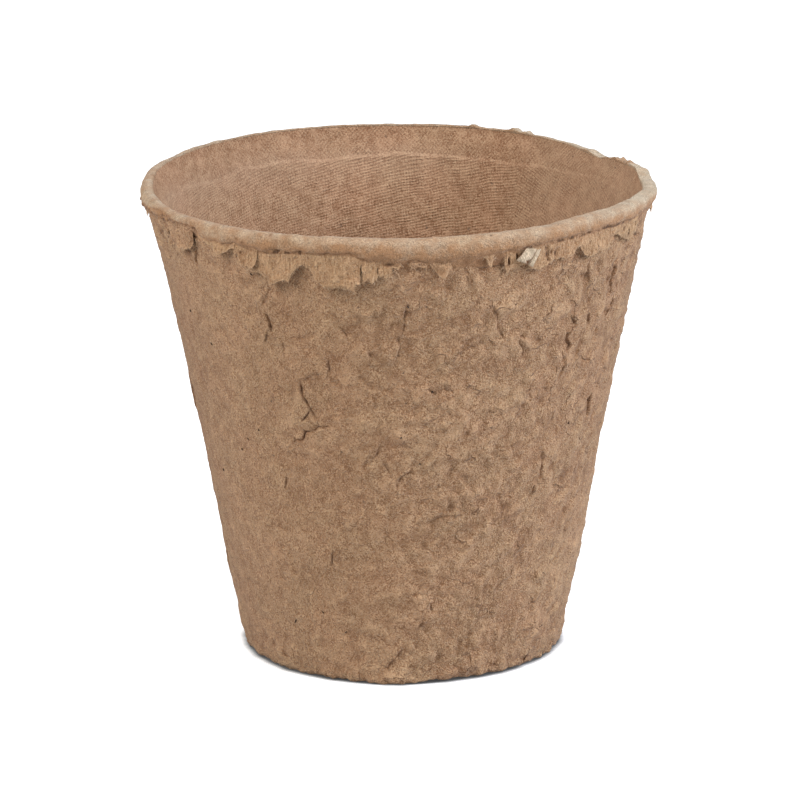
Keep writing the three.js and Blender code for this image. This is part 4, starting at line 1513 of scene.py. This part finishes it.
fibre_points, fibre_faces = [], []
along = np.linspace(0, 1, FIBRE_STEPS)[:, None]
for start, length in fibre_starts:
    outward, sideways = wall_directions(start)
    heading = draw.uniform(*LEAN_ASIDE) * sideways + draw.uniform(*LEAN_OUT) * outward + HANG
    bend = draw.uniform(*BEND_ASIDE) * sideways + draw.uniform(*BEND_OUT) * outward
    centres = start + length * (along * heading + along ** 2 * bend)
    add_strand(fibre_points, fibre_faces, centres, FIBRE_RADIUS * (1 - 0.6 * along[:, 0]), outward, sideways)
fibre_finish = two_toned(
    "fibre_pulp", (FLAKE_LIGHT, PALE_FIBRE),
    pitch=0.8, tones=(0.3, 0.7), grain_pitch=0.3, roughness=0.9,
)
make_piece("stray_fibres", np.array(fibre_points), fibre_faces, fibre_finish, "torn_pulp")

# Bark specks. Dark splinters of bark that came with the waste paper and were moulded in with it. They
# dried into the face of the wall, and a little of each stands out of it.
# Degrees from the front, height and length of those on the photographed side.
SPECKS = (
    (-38.2, 12.6, 1.1), (-62.5, 43.5, 0.7), (-49.4, 50.6, 0.6), (-41, 56.3, 0.6), (-46, 53.5, 0.5),
    (-54.6, 73.4, 0.7), (-62.4, 79.3, 0.7), (-35.8, 92, 0.6), (0.1, 57.7, 0.5), (5.1, 51.5, 0.6),
    (7.9, 67.5, 1.3), (51.9, 55.5, 0.8), (27.7, 85.9, 0.5), (-26.7, 15.9, 0.6), (-19.1, 11.8, 0.5),
    (1.9, 87, 0.7),
)
HIDDEN_SPECKS = 24
HIDDEN_SPECK_RANGES = ((80, 280), (6, 92), (0.4, 1.1))
SPECK_LEANS = (-0.7, 0.7)
SPECK_STEPS = 6
SPECK_RADIUS = 0.2
SPECK_LIFT = 0.1  # how far a speck's middle stands out of the wall
SPECK_RISE = np.array([0, 0, 0.9])
SPECK_BROWN = (0.075, 0.036, 0.018)
SPECK_BLACK = (0.02, 0.012, 0.008)
hidden = [tuple(draw.uniform(*ends) for ends in HIDDEN_SPECK_RANGES) for _ in range(HIDDEN_SPECKS)]
speck_angle, speck_height, speck_length = np.array(SPECKS + tuple(hidden)).T
relief, _ = wall_relief(cone_place(speck_angle, speck_height, 0), speck_angle, speck_height)
speck_points, speck_faces = [], []
along = np.linspace(-0.5, 0.5, SPECK_STEPS)[:, None]
for centre, length in zip(cone_place(speck_angle, speck_height, relief + SPECK_LIFT), speck_length):
    outward, sideways = wall_directions(centre)
    heading = draw.uniform(*SPECK_LEANS) * sideways + SPECK_RISE + SLOPE * outward
    radii = SPECK_RADIUS * (0.15 + 0.85 * np.cos(math.pi * along[:, 0]))
    add_strand(speck_points, speck_faces, centre + length * along * heading, radii, outward, sideways)
speck_finish = two_toned(
    "bark_speck", (SPECK_BLACK, SPECK_BROWN),
    pitch=0.4, tones=(0.35, 0.65), grain_pitch=0.2, roughness=0.85,
)
make_piece("bark_specks", np.array(speck_points), speck_faces, speck_finish, "pulp_wall")

# The table that the pot stands on, and the studio: a white top that is lit from below, a soft lamp high
# on the left, a broader one on the right and a plain pale room all round. Metres.
TABLE_HALF = 1.2
SEEN_WHITE = 0.85  # the table's colour as the camera sees it
LIT_WHITE = 0.6  # and as it throws light back onto the pot
GLOW = 0.5  # of the light from below, as the camera sees it
CONTACT_REACH = 1.8 * MM  # how far the painted contact shadow where the pot stands reaches out
ROOM_LEVEL = 0.27
LAMP_AIM = Vector((0, 0, 0.05))
# The lamps: name, place, width, power in watts and colour.
LAMPS = (
    ("left_lamp", (-0.85, -0.47, 0.77), 0.75, 13.5, (1, 1, 1)),
    ("right_lamp", (0.96, -0.45, 0.71), 0.8, 18.8, (0.97, 1.04, 1.16)),
)


def seen_directly(tree):
    """1 for what the camera sees, also mirrored or through glass, and 0 for what lights the pot."""
    rays = tree.nodes.new("ShaderNodeLightPath").outputs
    seen, glossy, through = (
        Shade(tree, rays[f"Is {kind} Ray"]) for kind in ("Camera", "Glossy", "Transmission")
    )
    return seen.most(glossy).most(through)


def white_top(name):
    """Matt white that glows a little for the camera, with a painted contact shadow where something stands on
    it.
    """
    finish = bpy.data.materials.new(name)
    finish.use_nodes = True
    tree = finish.node_tree
    tree.nodes.remove(tree.nodes["Principled BSDF"])
    seen = seen_directly(tree)
    # The painted contact shadow: darker where the pot closes round a place on the top.
    nearness = seen.node("ShaderNodeAmbientOcclusion", {"Distance": CONTACT_REACH}, "AO")
    open_share = nearness.spread(0.3, 0.92, 0.1, 1)
    white = seen.mix((LIT_WHITE,) * 3, open_share * SEEN_WHITE)
    matt = seen.node("ShaderNodeBsdfDiffuse", {"Color": white})
    glow = seen.node("ShaderNodeEmission", {"Strength": seen * open_share * GLOW})
    both = seen.node("ShaderNodeAddShader", {0: matt, 1: glow})
    both.link(tree.nodes["Material Output"].inputs["Surface"])
    return finish


def soft_lamp(name, place, size, power, colour):
    lamp = bpy.data.lights.new(name, "AREA")
    lamp.shape = "DISK"
    lamp.color = colour
    lamp.size = size
    lamp.energy = power
    holder = add_to_scene(name, lamp)
    holder.location = place
    holder.rotation_mode = "QUATERNION"
    holder.rotation_quaternion = (LAMP_AIM - holder.location).to_track_quat("-Z", "Y")


table_mesh = bpy.data.meshes.new("white_table")
table_corners = [(TABLE_HALF * x, TABLE_HALF * y, 0) for x, y in ((-1, -1), (1, -1), (1, 1), (-1, 1))]
table_mesh.from_pydata(table_corners, [], [(0, 1, 2, 3)])
table_mesh.materials.append(white_top("white_table"))
add_to_scene("white_table", table_mesh)

world = bpy.data.worlds.new("pale_room")
world.use_nodes = True
room = world.node_tree.nodes["Background"]
room.inputs["Color"].default_value = (1, 1, 1, 1)
seen_directly(world.node_tree).spread(0, 1, ROOM_LEVEL, 1).link(room.inputs["Strength"])
bpy.context.scene.world = world
bpy.context.scene.view_settings.view_transform = "Standard"
for lamp in LAMPS:
    soft_lamp(*lamp)

# The camera, at the photograph's place: a long lens, a little above the lip and looking slightly down,
# with a slight lean.
CAMERA_DISTANCE = 1.2  # metres
CAMERA_ELEVATION = math.radians(15.434)
CAMERA_LEAN = math.radians(-0.461)
CAMERA_AIM = Vector((-0.092, 0, 53.132)) * MM
CAMERA_LENS = 250.76
CAMERA_SENSOR = 36
lens = bpy.data.cameras.new("camera")
lens.sensor_width = CAMERA_SENSOR
lens.lens = CAMERA_LENS
camera = add_to_scene("camera", lens)
back = Vector((0, -math.cos(CAMERA_ELEVATION), math.sin(CAMERA_ELEVATION)))
camera.location = CAMERA_AIM + CAMERA_DISTANCE * back
camera.rotation_mode = "QUATERNION"
camera.rotation_quaternion = (-back).to_track_quat("-Z", "Y") @ Quaternion((0, 0, 1), CAMERA_LEAN)
bpy.context.scene.camera = camera
